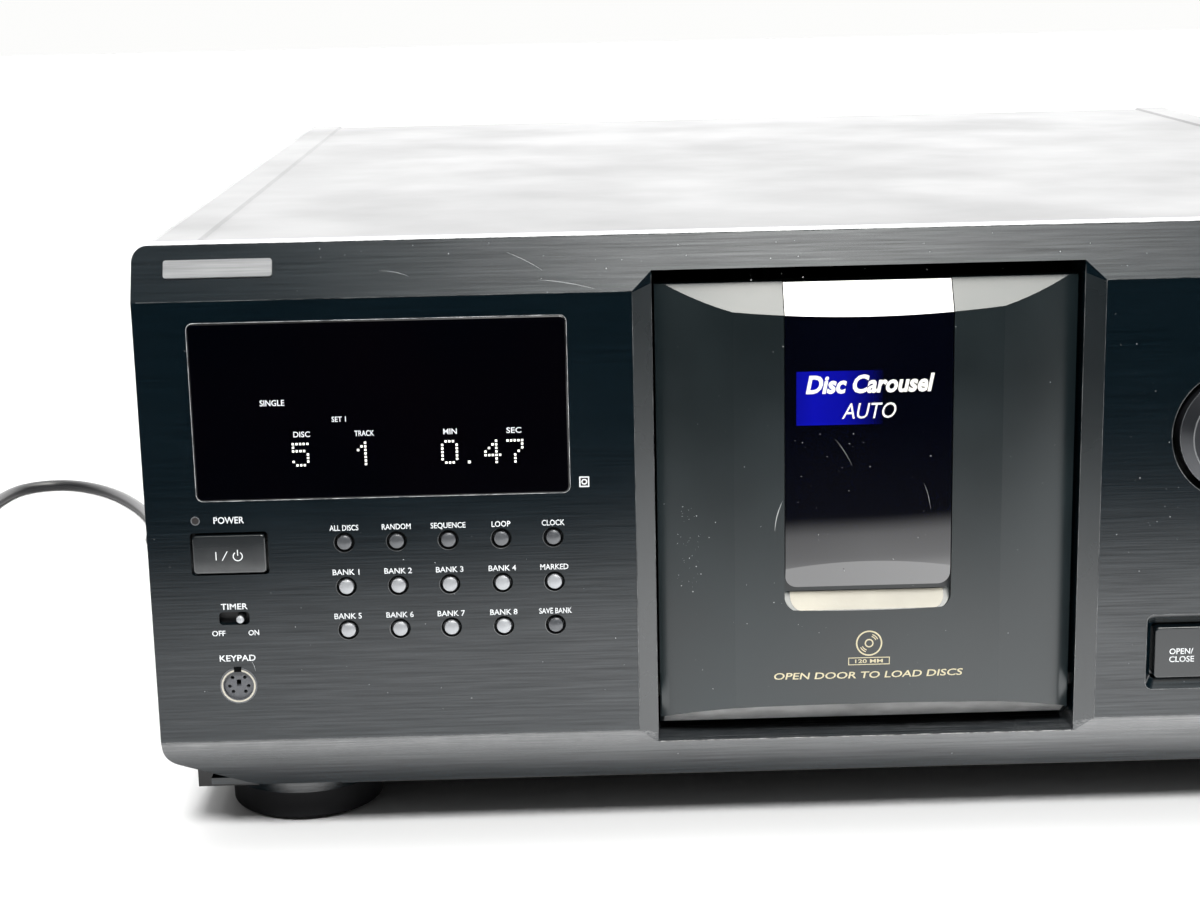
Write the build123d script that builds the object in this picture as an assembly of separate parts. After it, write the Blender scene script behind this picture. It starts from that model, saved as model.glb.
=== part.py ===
from build123d import *
import math
import os

os.makedirs("parts", exist_ok=True)

# A disc changer for 300 discs: X to the viewer's right, Y back, Z up, millimetres.
# The origin is on the floor, under the carousel's axis and the middle of the case.

# ---- driving dimensions ----
WIDTH = 430.0
TOP = 187.5                 # top of the case above the floor
FRONT = -234.75             # Y of the flat main face of the front panel
REAR = 223.25               # Y of the rear panel's outer face
SKIN = 2.5                  # wall of the plastic front panel
SHEET = 1.0                 # wall of the steel covers

# front panel: an upright main face between two bands that lean back
MAIN_LOW, MAIN_HIGH = 36.8, 171.8
TOP_BAND_BACK = 7.4
LOW_BAND_BACK, LOW_EDGE = 9.0, 19.2
PANEL_DEPTH = 16.0
TOP_CORNER = 4.5
LOW_CORNER_RUN, LOW_CORNER_RISE = 27.0, 10.3     # shallow slope at each lower corner
LOW_CORNER_RADIUS, LOW_BEND_RADIUS = 6.5, 14.0

# recess for the door
MOUTH_HALF, MOUTH_LOW, MOUTH_HIGH = 63.7, 32.2, 177.4
MITRE_HALF, MITRE_DEPTH = 69.4, 2.6
THROAT_DEPTH, THROAT_WALL = 20.0, 2.3

# door
DOOR_HALF, DOOR_KINK = 62.7, 40.0
KINK_BACK, EDGE_BACK, DOOR_BACK = 1.25, 7.3, 12.0
DOOR_LOW, DOOR_TOP = 35.2, 172.6
LENS_EDGE, LENS_SLOPE = 162.6, 1.6
CHIN_EDGE, CHIN_SLOPE = 43.5, 0.7
DOOR_AXIS_BACK, DOOR_AXIS_Z = 11.5, 45.8
WINDOW_HALF, WINDOW_LOW, WINDOW_BEND = 24.8, 80.3, 88.4
POCKET_HALF, POCKET_LOW, POCKET_DEPTH = 25.1, 73.2, 4.3
DOOR_TEETH, DOOR_PINION_TEETH, DOOR_MESH_ANGLE = 32, 14, 60.0

# display and controls on the main face
DISPLAY_X, DISPLAY_Z, DISPLAY_W, DISPLAY_H = -144.15, 138.65, 110.7, 53.4
KEY_COLUMNS = (-156.4, -140.85, -125.45, -109.7, -94.15)
KEY_ROWS = (98.45, 84.7, 71.2)
KEY_RADIUS, KEY_HOLE, KEY_PROUD = 2.15, 2.7, 0.9
POWER_X, POWER_Z, POWER_W, POWER_H = -190.7, 95.8, 21.6, 11.6
TRANSPORT_Z, TRANSPORT_H = 57.3, 16.0
TRANSPORT_KEYS = {"open_close_button": (98.0, 21.6), "play_button": (131.5, 30.0),
                  "pause_button": (161.5, 14.8), "stop_button": (187.5, 21.6)}
BEVEL_SIDE, BEVEL_END = 1.6, 3.0
DISC_DIAL = (110.5, 124.5, 18.05)
TRACK_DIAL = (172.0, 131.0, 10.5)
DIAL_GAP, DIAL_PROUD = 2.2, 4.0
TIMER_X, TIMER_Z, TIMER_TRAVEL = -190.45, 75.7, 4.4
SOCKET_X, SOCKET_Z = -190.4, 54.5
LED_X, LED_Z = -200.3, 106.1
SENSOR_X, SENSOR_Z = -84.6, 115.0
PLATE_X, PLATE_Z, PLATE_W, PLATE_H = -189.8, 180.6, 31.6, 5.4

# feet
FOOT_X, FOOT_FRONT_Y, FOOT_REAR_Y = 177.0, FRONT + 48.8, 178.0
FOOT_RADIUS, FOOT_SEAM, CUP_RADIUS = 24.3, 9.9, 25.2

# case
COVER_HALF, COVER_LOW, MARGIN = 214.0, 25.0, 17.0
PAN_HALF, PAN_FLOOR, PAN_FRONT = 209.3, 12.0, FRONT + 27.0

# carousel and drive
HUB_R, RING_R, TABLE_Z, COMB_TOP = 73.05, 196.0, 36.0, 58.0
SLOTS, SLOT_INNER_R, SLOT_WIDTH = 300, 182.0, 2.2
TABLE_MODULE, TABLE_TEETH, TABLE_PINION_TEETH = 1.5, 120, 16

# player in the middle of the carousel, with the disc upright in the plane X = 0
SPINDLE_Z, WALL_X, WALL = 103.0, 10.0, 2.5
LEVER_Y, LEVER_Z, LEVER_TEETH, LOADER_TEETH = -40.0, 46.5, 24, 16
CLAMP_Z = 166.0

# mains lead
CORD_D = 5.5
LEAD_X, LEAD_Z, RELIEF_LENGTH = -190.0, 24.0, 24.0
COIL_X, COIL_Y, COIL_TURNS = -424.5, FRONT + 374.0, 5
COIL_OUT_R, COIL_IN_R, COIL_LAYER, COIL_TAIL = 38.5, 22.5, 6.1, 24.0


# ---- helpers ----
def block(x0, x1, y0, y1, z0, z1):
    """A box between two opposite corners."""
    return Pos((x0 + x1) / 2, (y0 + y1) / 2, (z0 + z1) / 2) * Box(x1 - x0, y1 - y0, z1 - z0)


def rod_x(x0, x1, y, z, r):
    return Pos((x0 + x1) / 2, y, z) * Rot(0, 90, 0) * Cylinder(r, x1 - x0)


def rod_y(x, y0, y1, z, r):
    return Pos(x, (y0 + y1) / 2, z) * Rot(90, 0, 0) * Cylinder(r, y1 - y0)


def rod_z(x, y, z0, z1, r):
    return Pos(x, y, (z0 + z1) / 2) * Cylinder(r, z1 - z0)


def front_slab(sketch, y0, y1):
    """A sketch drawn as seen from the front (X, Z), carried back from y0 to y1."""
    plane = Plane(origin=(0, y0, 0), x_dir=(1, 0, 0), z_dir=(0, -1, 0))
    return extrude(plane * sketch, amount=y1 - y0, dir=(0, 1, 0))


def side_slab(points, x0, x1):
    """A polygon of (Y, Z) points carried along X from x0 to x1."""
    plane = Plane(origin=(x0, 0, 0), x_dir=(0, 1, 0), z_dir=(1, 0, 0))
    return extrude(plane * Polygon(*points, align=None), amount=x1 - x0, dir=(1, 0, 0))


def plan_slab(sketch, z0, z1):
    return extrude(Pos(0, 0, z0) * sketch, amount=z1 - z0, dir=(0, 0, 1))


def rounded_slab(x, z, w, h, r, y0, y1):
    """A plate with round corners, seen from the front."""
    return front_slab(Pos(x, z) * RectangleRounded(w, h, r), y0, y1)


def whole(shape):
    """The solids of a shape, as one compound or one solid."""
    solids = shape.solids()
    return solids[0] if len(solids) == 1 else Compound(children=list(solids))


def gear_sketch(teeth, module, bore=0.0, backlash=0.25):
    """Involute teeth at 20 degrees, with the first tooth on the sketch's +X axis."""
    pitch_r = module * teeth / 2
    base_r = pitch_r * math.cos(math.radians(20))
    root_r, tip_r = pitch_r - 1.2 * module, pitch_r + 0.85 * module
    start_r = max(base_r, root_r)
    lean = math.tan(math.radians(20)) - math.radians(20)
    radii = [start_r + (tip_r - start_r) * k / 4 for k in range(5)]

    def half_angle(r):
        angle = math.acos(min(1.0, base_r / r))
        spread = math.pi / (2 * teeth) - backlash / (2 * pitch_r) + lean
        return spread - (math.tan(angle) - angle)

    points = []
    for tooth in range(teeth):
        centre = 2 * math.pi * tooth / teeth
        flank = [(r, half_angle(r)) for r in radii]
        edge = [(root_r, flank[0][1] + 0.02)] + flank if start_r > root_r + 0.01 else flank
        for r, a in edge:
            points.append((r * math.cos(centre - a), r * math.sin(centre - a)))
        for r, a in reversed(edge):
            points.append((r * math.cos(centre + a), r * math.sin(centre + a)))
    sketch = Polygon(*points, align=None)
    return sketch - Circle(bore) if bore else sketch


def gear_x(teeth, module, x0, x1, y, z, bore, first_tooth=0.0):
    """A gear on an axis along X; first_tooth is the angle of a tooth from +Y towards +Z."""
    plane = Plane(origin=(x0, y, z), x_dir=(0, 1, 0), z_dir=(1, 0, 0))
    teeth_sketch = plane * (Rot(0, 0, first_tooth) * gear_sketch(teeth, module, bore))
    return extrude(teeth_sketch, amount=x1 - x0, dir=(1, 0, 0))


def export(name, shape):
    export_step(whole(shape), f"parts/{name}.step")
    print(name, "exported")


# ---- case ----
def panel_profile(back, inset=0.0):
    """Side view of the front panel, as (Y, Z) points."""
    lean = math.hypot(TOP - MAIN_HIGH, TOP_BAND_BACK)
    low_lean = math.hypot(MAIN_LOW - LOW_EDGE, LOW_BAND_BACK)
    top_shift = inset * (lean - (TOP - MAIN_HIGH)) / TOP_BAND_BACK
    low_shift = inset * (low_lean - (MAIN_LOW - LOW_EDGE)) / LOW_BAND_BACK
    top_z, low_z = TOP - inset, LOW_EDGE + inset
    top_y = TOP_BAND_BACK + inset * (lean - TOP_BAND_BACK) / (TOP - MAIN_HIGH)
    low_y = LOW_BAND_BACK + inset * (low_lean - LOW_BAND_BACK) / (MAIN_LOW - LOW_EDGE)
    return [(FRONT + inset, MAIN_LOW + low_shift), (FRONT + inset, MAIN_HIGH - top_shift),
            (FRONT + top_y, top_z), (FRONT + back, top_z), (FRONT + back, low_z), (FRONT + low_y, low_z)]


def panel_outline(inset=0.0):
    """Front view of the panel: small round top corners, and lower corners cut by a shallow slope."""
    half, high, low = WIDTH / 2 - inset, TOP - inset, LOW_EDGE + inset
    slope = LOW_CORNER_RISE / LOW_CORNER_RUN
    shift = inset * math.hypot(1.0, slope)
    corner_z = LOW_EDGE + (LOW_CORNER_RUN - inset) * slope + shift
    bend_x = WIDTH / 2 - LOW_CORNER_RUN + (inset - shift) / slope
    right = [(bend_x, low), (half, corner_z), (half, high)]
    left = [(-x, z) for x, z in reversed(right)]
    sketch = Polygon(*(right + left), align=None)
    for z, radius in ((high, TOP_CORNER), (corner_z, LOW_CORNER_RADIUS), (low, LOW_BEND_RADIUS)):
        corners = [v for v in sketch.vertices() if abs(v.Y - z) < 1e-6]
        sketch = fillet(corners, radius - inset)
    return sketch


def foot_cup(x):
    """Half-round skirt of the panel round the front of a foot."""
    y = FOOT_FRONT_Y
    ring = rod_z(x, y, FOOT_SEAM + 0.3, LOW_EDGE + 2, CUP_RADIUS)
    ring -= rod_z(x, y, 0, LOW_EDGE + 3, CUP_RADIUS - 1.8)
    front_half = block(x - 40, x + 40, y - 40, y, 0, LOW_EDGE + 2)
    web = block(x - CUP_RADIUS, x + CUP_RADIUS, FRONT + 10, y, LOW_EDGE, LOW_EDGE + 2)
    return (ring & front_half) + web


def front_panel():
    outer = side_slab(panel_profile(PANEL_DEPTH), -WIDTH / 2, WIDTH / 2)
    outer &= front_slab(panel_outline(), FRONT - 1, FRONT + 40)
    inner = side_slab(panel_profile(60.0, SKIN), -WIDTH / 2, WIDTH / 2)
    inner &= front_slab(panel_outline(SKIN), FRONT - 1, FRONT + 60)
    panel = outer - inner
    flange = WIDTH / 2 - LOW_CORNER_RUN
    panel += block(-flange, flange, FRONT + 12, PAN_FRONT + 4, LOW_EDGE, LOW_EDGE + 2)
    throat = block(-MOUTH_HALF - THROAT_WALL, MOUTH_HALF + THROAT_WALL, FRONT + 1.2, FRONT + THROAT_DEPTH,
                   MOUTH_LOW - THROAT_WALL, MOUTH_HIGH + THROAT_WALL)
    throat &= side_slab(panel_profile(60.0), -WIDTH / 2, WIDTH / 2)
    panel += throat
    panel -= block(-MOUTH_HALF, MOUTH_HALF, FRONT - 5, FRONT + 30, MOUTH_LOW, MOUTH_HIGH)
    for side in (-1, 1):
        slope = (MITRE_HALF - MOUTH_HALF) / MITRE_DEPTH
        wide = MITRE_HALF + slope
        mitre = Polygon((side * 60, FRONT - 1), (side * wide, FRONT - 1),
                        (side * MOUTH_HALF, FRONT + MITRE_DEPTH),
                        (side * 60, FRONT + MITRE_DEPTH), align=None)
        panel -= plan_slab(mitre, MOUTH_LOW - 8, MOUTH_HIGH + 8) & side_slab(
            [(FRONT - 5, MAIN_LOW - 1.95 * 9), (FRONT - 5, 200), (FRONT + 10, 200), (FRONT + 10, MOUTH_LOW),
             (FRONT + 2.35, MOUTH_LOW)], -80, 80)
        boss_x = side * (MOUTH_HALF + THROAT_WALL)
        panel += rod_x(min(boss_x, boss_x + side * 3), max(boss_x, boss_x + side * 3),
                       FRONT + DOOR_AXIS_BACK, DOOR_AXIS_Z, 5.0)
        panel += foot_cup(side * FOOT_X)
    for cut in panel_cuts():
        panel -= cut
    return panel


def panel_cuts():
    """Every hole in the main face."""
    near, far = FRONT - 1, FRONT + 6
    cuts = [rounded_slab(DISPLAY_X, DISPLAY_Z, DISPLAY_W + 0.3, DISPLAY_H + 0.3, 2.1, near, FRONT + 1.6)]
    cuts.append(rounded_slab(DISPLAY_X, DISPLAY_Z, DISPLAY_W - 6, DISPLAY_H - 6, 1.5, near, far))
    for x in KEY_COLUMNS:
        for z in KEY_ROWS:
            cuts.append(rod_y(x, near, far, z, KEY_HOLE))
    cuts.append(rounded_slab(POWER_X, POWER_Z, POWER_W + 1.6, POWER_H + 1.6, 1.2, near, far))
    for x, w in TRANSPORT_KEYS.values():
        cuts.append(rounded_slab(x, TRANSPORT_Z, w + 1.8, TRANSPORT_H + 1.8, 1.6, near, far))
        cuts.append(bevelled_mouth(x, TRANSPORT_Z, w + 1.8, TRANSPORT_H + 1.8))
    for x, z, r in (DISC_DIAL, TRACK_DIAL):
        cuts.append(rod_y(x, near, far, z, r + DIAL_GAP))
    cuts.append(rounded_slab(TIMER_X, TIMER_Z, 9.1, 4.0, 1.2, near, far))
    cuts.append(rod_y(SOCKET_X, near, far, SOCKET_Z, 5.7))
    cuts.append(rod_y(LED_X, near, far, LED_Z, 1.1))
    cuts.append(rounded_slab(SENSOR_X, SENSOR_Z, 3.0, 3.2, 0.3, near, far))
    for side in (-1, 1):
        cuts.append(rod_x(min(side * 63, side * 70), max(side * 63, side * 70),
                          FRONT + DOOR_AXIS_BACK, DOOR_AXIS_Z, 2.0))
    return cuts


def bevelled_mouth(x, z, w, h):
    """Sloped surround of a key: a frustum over 1.5 mm, with more slope above and below than beside."""
    depth = 1.5
    wide = Pos(x, z) * RectangleRounded(w + 2 * BEVEL_SIDE, h + 2 * BEVEL_END, 2.2)
    narrow = Pos(x, z) * RectangleRounded(w, h, 1.6)
    front = Plane(origin=(0, FRONT, 0), x_dir=(1, 0, 0), z_dir=(0, -1, 0)) * wide
    back = Plane(origin=(0, FRONT + depth, 0), x_dir=(1, 0, 0), z_dir=(0, -1, 0)) * narrow
    return loft([front.faces()[0], back.faces()[0]]) + front_slab(wide, FRONT - 0.5, FRONT)


def cover_section(inset=0.0):
    """Front view of the steel cover: raised side margins, flat middle 0.7 lower."""
    half, high, edge = COVER_HALF - inset, TOP - inset, COVER_HALF - MARGIN
    half_outline = [(half, COVER_LOW), (half, high - 4), (half - 1.2, high - 1.2), (half - 4, high),
                    (edge + 0.5, high), (edge - 0.5, high - 0.7)]
    mirrored = [(-x, z) for x, z in reversed(half_outline)]
    return Polygon(*(half_outline + mirrored), align=None)


def top_cover():
    front = FRONT + PANEL_DEPTH + 0.3
    shell = front_slab(cover_section(), front, REAR)
    shell -= front_slab(cover_section(SHEET), front - 1, REAR + 1)
    inside = COVER_HALF - SHEET
    shell -= block(-inside, inside, front - 1, REAR + 1, COVER_LOW - 1, COVER_LOW + 5)
    for side in (-1, 1):
        lip = sorted((side * (PAN_HALF + 0.2), side * (COVER_HALF - SHEET / 2)))
        shell += block(*lip, front, REAR - 1.4, COVER_LOW, COVER_LOW + SHEET)
    return shell


def chassis_pan():
    back = REAR - 1.4
    pan = block(-PAN_HALF, PAN_HALF, PAN_FRONT, back, PAN_FLOOR, PAN_FLOOR + 32)
    pan -= block(-PAN_HALF + 1.2, PAN_HALF - 1.2, PAN_FRONT + 1.2, back + 1, PAN_FLOOR + 1.2, 80)
    pan -= block(-PAN_HALF + 1.2, PAN_HALF - 1.2, PAN_FRONT - 1, PAN_FRONT + 2, LOW_EDGE - 0.2, 80)
    pan -= block(-PAN_HALF - 1, PAN_HALF + 1, PAN_FRONT - 1, PAN_FRONT + 5, LOW_EDGE - 0.2, LOW_EDGE + 3)
    for side in (-1, 1):
        pan -= rod_z(side * FOOT_X, FOOT_FRONT_Y, 5, LOW_EDGE + 4, CUP_RADIUS + 0.3)
    for rib in range(5):
        y = -110 + 70 * rib
        pan += block(-150, -90, y, y + 4, PAN_FLOOR + 1.2, PAN_FLOOR + 3)
        pan += block(150, 200, y, y + 4, PAN_FLOOR + 1.2, PAN_FLOOR + 3)
    return pan


def rear_panel():
    half = COVER_HALF - SHEET - 0.1
    panel = block(-half, half, REAR - 1.2, REAR, PAN_FLOOR, TOP)
    panel &= front_slab(cover_section(SHEET + 0.1), REAR - 2, REAR + 1) + block(
        -half, half, REAR - 2, REAR + 1, PAN_FLOOR, 60)
    for x, z in audio_jack_places():
        panel -= rod_y(x, REAR - 3, REAR + 3, z, 5.3)
    for x in (108.0, 96.0):
        panel -= rod_y(x, REAR - 3, REAR + 3, 48.0, 3.3)
    panel -= rounded_slab(128.0, 48.0, 10.0, 10.0, 0.2, REAR - 3, REAR + 3)
    panel -= rod_y(LEAD_X, REAR - 3, REAR + 3, LEAD_Z, 6.1)
    return panel


def audio_jack_places():
    return [(150.0, 57.0), (150.0, 39.0)]


def rear_jacks():
    """Two phono jacks, a light-pipe socket and two small control jacks, each with its inner block."""
    solids = []
    for x, z in audio_jack_places():
        jack = rod_y(x, REAR, REAR + 2.5, z, 6.6) + rod_y(x, REAR - 1.2, REAR + 15.5, z, 4.15)
        jack -= rod_y(x, REAR + 3.5, REAR + 16, z, 1.65)
        solids.append(jack + block(x - 7, x + 7, REAR - 14, REAR - 1.2, z - 7, z + 7))
    for x in (108.0, 96.0):
        jack = rod_y(x, REAR - 1.2, REAR + 2.0, 48.0, 3.2) - rod_y(x, REAR - 8, REAR + 3, 48.0, 1.8)
        solids.append(jack + block(x - 4.5, x + 4.5, REAR - 14, REAR - 1.2, 42, 54))
    light = block(123.3, 132.7, REAR - 14, REAR + 1.5, 43.3, 52.7)
    light -= block(125.5, 130.5, REAR - 4, REAR + 2, 45.5, 50.5)
    solids.append(light)
    return Compound(children=[s.solids()[0] for s in solids])


def feet():
    """Four round feet: a broad disc, and a boss that goes up to the pan."""
    solids = []
    for x in (-FOOT_X, FOOT_X):
        for y, high in ((FOOT_FRONT_Y, LOW_EDGE), (FOOT_REAR_Y, PAN_FLOOR)):
            foot = Pos(x, y, 0.8 + (FOOT_SEAM - 0.8) / 2) * Cylinder(FOOT_RADIUS, FOOT_SEAM - 0.8)
            foot = fillet(foot.edges().group_by(Axis.Z)[0], 1.6)
            foot += rod_z(x, y, FOOT_SEAM, high, 20.0)
            foot -= rod_z(x, y, 0, 1.6, 17.0)
            foot -= rod_z(x, y, 0, 6.0, 6.0)
            solids.append(foot)
    return Compound(children=[s.solids()[0] for s in solids])


def foot_pads():
    pads = []
    for x in (-FOOT_X, FOOT_X):
        for y in (FOOT_FRONT_Y, FOOT_REAR_Y):
            pads.append(rod_z(x, y, 0, 1.6, 16.9) - rod_z(x, y, -1, 3, 8.0))
    return Compound(children=[p.solids()[0] for p in pads])


def case_screws():
    """Cross-head screws: two on each side of the cover and four along its rear edge."""
    screws = []
    for side in (-1, 1):
        for y in (-150.0, 150.0):
            x = side * COVER_HALF
            head = rod_x(min(x, x + side * 1.8), max(x, x + side * 1.8), y, 34.0, 4.2)
            cross = block(x - 6, x + 6, y - 2.2, y + 2.2, 33.6, 34.4)
            cross += block(x - 6, x + 6, y - 0.4, y + 0.4, 31.8, 36.2)
            deep = block(min(x, x + side), max(x, x + side), y - 6, y + 6, 28, 40)
            screws.append(head - (cross - deep))
    for x in (-200.0, -70.0, 70.0, 200.0):
        head = rod_y(x, REAR, REAR + 1.8, 176.0, 3.6)
        cross = block(x - 2, x + 2, REAR + 1, REAR + 3, 175.6, 176.4)
        cross += block(x - 0.4, x + 0.4, REAR + 1, REAR + 3, 174, 178)
        screws.append(head - cross)
    return Compound(children=[s.solids()[0] for s in screws])


# ---- front of the set ----
def display_window():
    plate = rounded_slab(DISPLAY_X, DISPLAY_Z, DISPLAY_W, DISPLAY_H, 2.0, FRONT - 0.4, FRONT + 1.6)
    return chamfer(plate.faces().sort_by(Axis.Y)[0].edges(), 0.5)


def display_tube():
    """Glass of the fluorescent display, with its seal pip at one end."""
    x0, x1 = DISPLAY_X - 46, DISPLAY_X + 46
    tube = block(x0, x1, FRONT + 6.0, FRONT + 12.0, 118.0, 156.0)
    return tube + rod_x(x1, x1 + 5, FRONT + 9.0, 137.0, 1.8)


def front_boards():
    """Two boards behind the panel, with a small switch behind each key."""
    y = FRONT + 12.0
    boards = [block(-208, -70, y, y + 1.6, 44, 164), block(70, 208, y, y + 1.6, 40, 160)]
    for x in KEY_COLUMNS:
        for z in KEY_ROWS:
            boards.append(block(x - 3, x + 3, y - 2.6, y, z - 3, z + 3))
    boards.append(block(POWER_X - 3, POWER_X + 3, y - 2.0, y, POWER_Z - 3, POWER_Z + 3))
    for x, _ in TRANSPORT_KEYS.values():
        boards.append(block(x - 3, x + 3, y - 2.0, y, TRANSPORT_Z - 3, TRANSPORT_Z + 3))
    for x, z, r in (DISC_DIAL, TRACK_DIAL):
        boards.append(block(x - 6, x + 6, y - 2.0, y, z - 6, z + 6) - rod_y(x, y - 3, y + 1, z, 3.1))
    boards.append(block(TIMER_X - 8, TIMER_X + 8, y - 3.0, y, TIMER_Z - 4, TIMER_Z + 4))
    return Compound(children=[b.solids()[0] for b in boards])


def name_plate():
    """A blank bright plate on the leaning top band."""
    rise = math.degrees(math.atan2(TOP_BAND_BACK, TOP - MAIN_HIGH))
    y = FRONT + (PLATE_Z - MAIN_HIGH) * TOP_BAND_BACK / (TOP - MAIN_HIGH)
    plate = Pos(0, -0.4, 0) * Box(PLATE_W, 0.8, PLATE_H)
    plate = fillet(plate.edges().filter_by(Axis.Y), 0.8)
    return Pos(PLATE_X, y, PLATE_Z) * Rot(-rise, 0, 0) * plate


def standby_led():
    return rod_y(LED_X, FRONT + 0.2, FRONT + 12.0, LED_Z, 1.05)


def sensor_window():
    return rounded_slab(SENSOR_X, SENSOR_Z, 2.9, 3.1, 0.3, FRONT - 0.1, FRONT + 12.0)


def keyboard_socket():
    """Round six-pin socket: a bright shell round a black core with its holes and an upright key slot."""
    shell = rod_y(SOCKET_X, FRONT - 0.2, FRONT + 12.0, SOCKET_Z, 5.15)
    shell -= rod_y(SOCKET_X, FRONT - 1, FRONT + 13, SOCKET_Z, 4.45)
    core = rod_y(SOCKET_X, FRONT + 1.0, FRONT + 12.0, SOCKET_Z, 4.4)
    for angle in (40, 100, 140, 220, 260, 320):
        a = math.radians(angle + 90)
        core -= rod_y(SOCKET_X + 2.9 * math.cos(a), FRONT, FRONT + 7, SOCKET_Z + 2.9 * math.sin(a), 0.55)
    core -= block(SOCKET_X - 0.7, SOCKET_X + 0.7, FRONT, FRONT + 7, SOCKET_Z - 0.4, SOCKET_Z + 1.6)
    return Compound(children=[shell.solids()[0], core.solids()[0]])


def round_key(x, z):
    cap = rod_y(x, FRONT - KEY_PROUD, FRONT + 3.4, z, KEY_RADIUS)
    cap = fillet(cap.faces().sort_by(Axis.Y)[0].edges(), 0.35)
    return cap + rod_y(x, FRONT + 3.4, FRONT + 4.6, z, 3.6) + rod_y(x, FRONT + 4.6, FRONT + 8.2, z, 1.2)


def flat_key(x, z, w, h):
    cap = rounded_slab(x, z, w, h, 1.2, FRONT - 0.9, FRONT + 4.0)
    cap = fillet(cap.faces().sort_by(Axis.Y)[0].edges(), 0.5)
    flange = rounded_slab(x, z, w + 3.4, h + 3.4, 1.0, FRONT + 4.2, FRONT + 5.4)
    neck = rounded_slab(x, z, w - 2, h - 2, 0.8, FRONT + 4.0, FRONT + 4.2)
    return cap + neck + flange + rod_y(x, FRONT + 5.4, FRONT + 8.4, z, 1.6)


def dial(x, z, r, grip_depth):
    """A flush dial: bevelled rim, dished face with a finger dimple, hollow back, spindle."""
    knob = rod_y(x, FRONT - 0.6, FRONT + 6.0, z, r)
    face = rod_y(x, FRONT - DIAL_PROUD, FRONT - 0.6, z, r)
    face = chamfer(face.faces().sort_by(Axis.Y)[0].edges(), DIAL_PROUD - 0.7, (DIAL_PROUD - 0.7) * 0.95)
    knob += face
    dish = Pos(x, FRONT - DIAL_PROUD - r * 2.2 + grip_depth, z) * Sphere(r * 2.2)
    knob -= dish
    knob -= rod_y(x, FRONT + 2.0, FRONT + 7, z, r - 2.2)
    knob += rod_y(x, FRONT + 1.5, FRONT + 11.4, z, 3.0)
    return knob


def timer_knob():
    x = TIMER_X + 1.9
    peg = rod_y(x, FRONT - 1.6, FRONT + 3.2, TIMER_Z, 1.3)
    peg = fillet(peg.faces().sort_by(Axis.Y)[0].edges(), 0.5)
    return peg + rounded_slab(x - 0.5, TIMER_Z, 13.0, 7.0, 0.6, FRONT + 3.2, FRONT + 4.2) + rod_y(
        x, FRONT + 4.2, FRONT + 8.6, TIMER_Z, 1.0)


# ---- door ----
def door_plan(shift, half, back):
    """Plan of the door: a flat middle arc, and side arcs that fall back to the edges."""
    y = FRONT + shift
    side_back = KINK_BACK + (EDGE_BACK - KINK_BACK) * (half - DOOR_KINK) / (DOOR_HALF - DOOR_KINK)
    mid_x = (DOOR_KINK + half) / 2
    mid_back = (KINK_BACK + side_back) / 2 - 0.5
    edges = [ThreePointArc((-DOOR_KINK, y + KINK_BACK), (0, y), (DOOR_KINK, y + KINK_BACK)),
             ThreePointArc((DOOR_KINK, y + KINK_BACK), (mid_x, y + mid_back), (half, y + side_back)),
             Line((half, y + side_back), (half, FRONT + back)),
             Line((half, FRONT + back), (-half, FRONT + back)),
             Line((-half, FRONT + back), (-half, y + side_back)),
             ThreePointArc((-half, y + side_back), (-mid_x, y + mid_back), (-DOOR_KINK, y + KINK_BACK))]
    return make_face(edges)


def lens_depth(z):
    """How far the leaning lens lies behind the main face at height z."""
    return (z - LENS_EDGE) / LENS_SLOPE


def door_blank():
    """The door's outer form: the plan carried up, with a leaning top lens and a chin."""
    blank = plan_slab(door_plan(0.0, DOOR_HALF, DOOR_BACK), DOOR_LOW, DOOR_TOP)
    over = DOOR_TOP + 5
    blank -= side_slab([(FRONT - 5, LENS_EDGE - 5 * LENS_SLOPE), (FRONT + lens_depth(over), over),
                        (FRONT - 5, over)], -70, 70)
    chin_back = (CHIN_EDGE - DOOR_LOW + 4) / CHIN_SLOPE
    blank -= side_slab([(FRONT - 5, CHIN_EDGE + 5 * CHIN_SLOPE), (FRONT + chin_back, DOOR_LOW - 4),
                        (FRONT - 5, DOOR_LOW - 4)], -70, 70)
    return blank


def pocket_outline(half, low, corner):
    sketch = Pos(0, (low + 200) / 2) * Rectangle(2 * half, 200 - low)
    return fillet([v for v in sketch.vertices() if v.Y < low + 1], corner)


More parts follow.
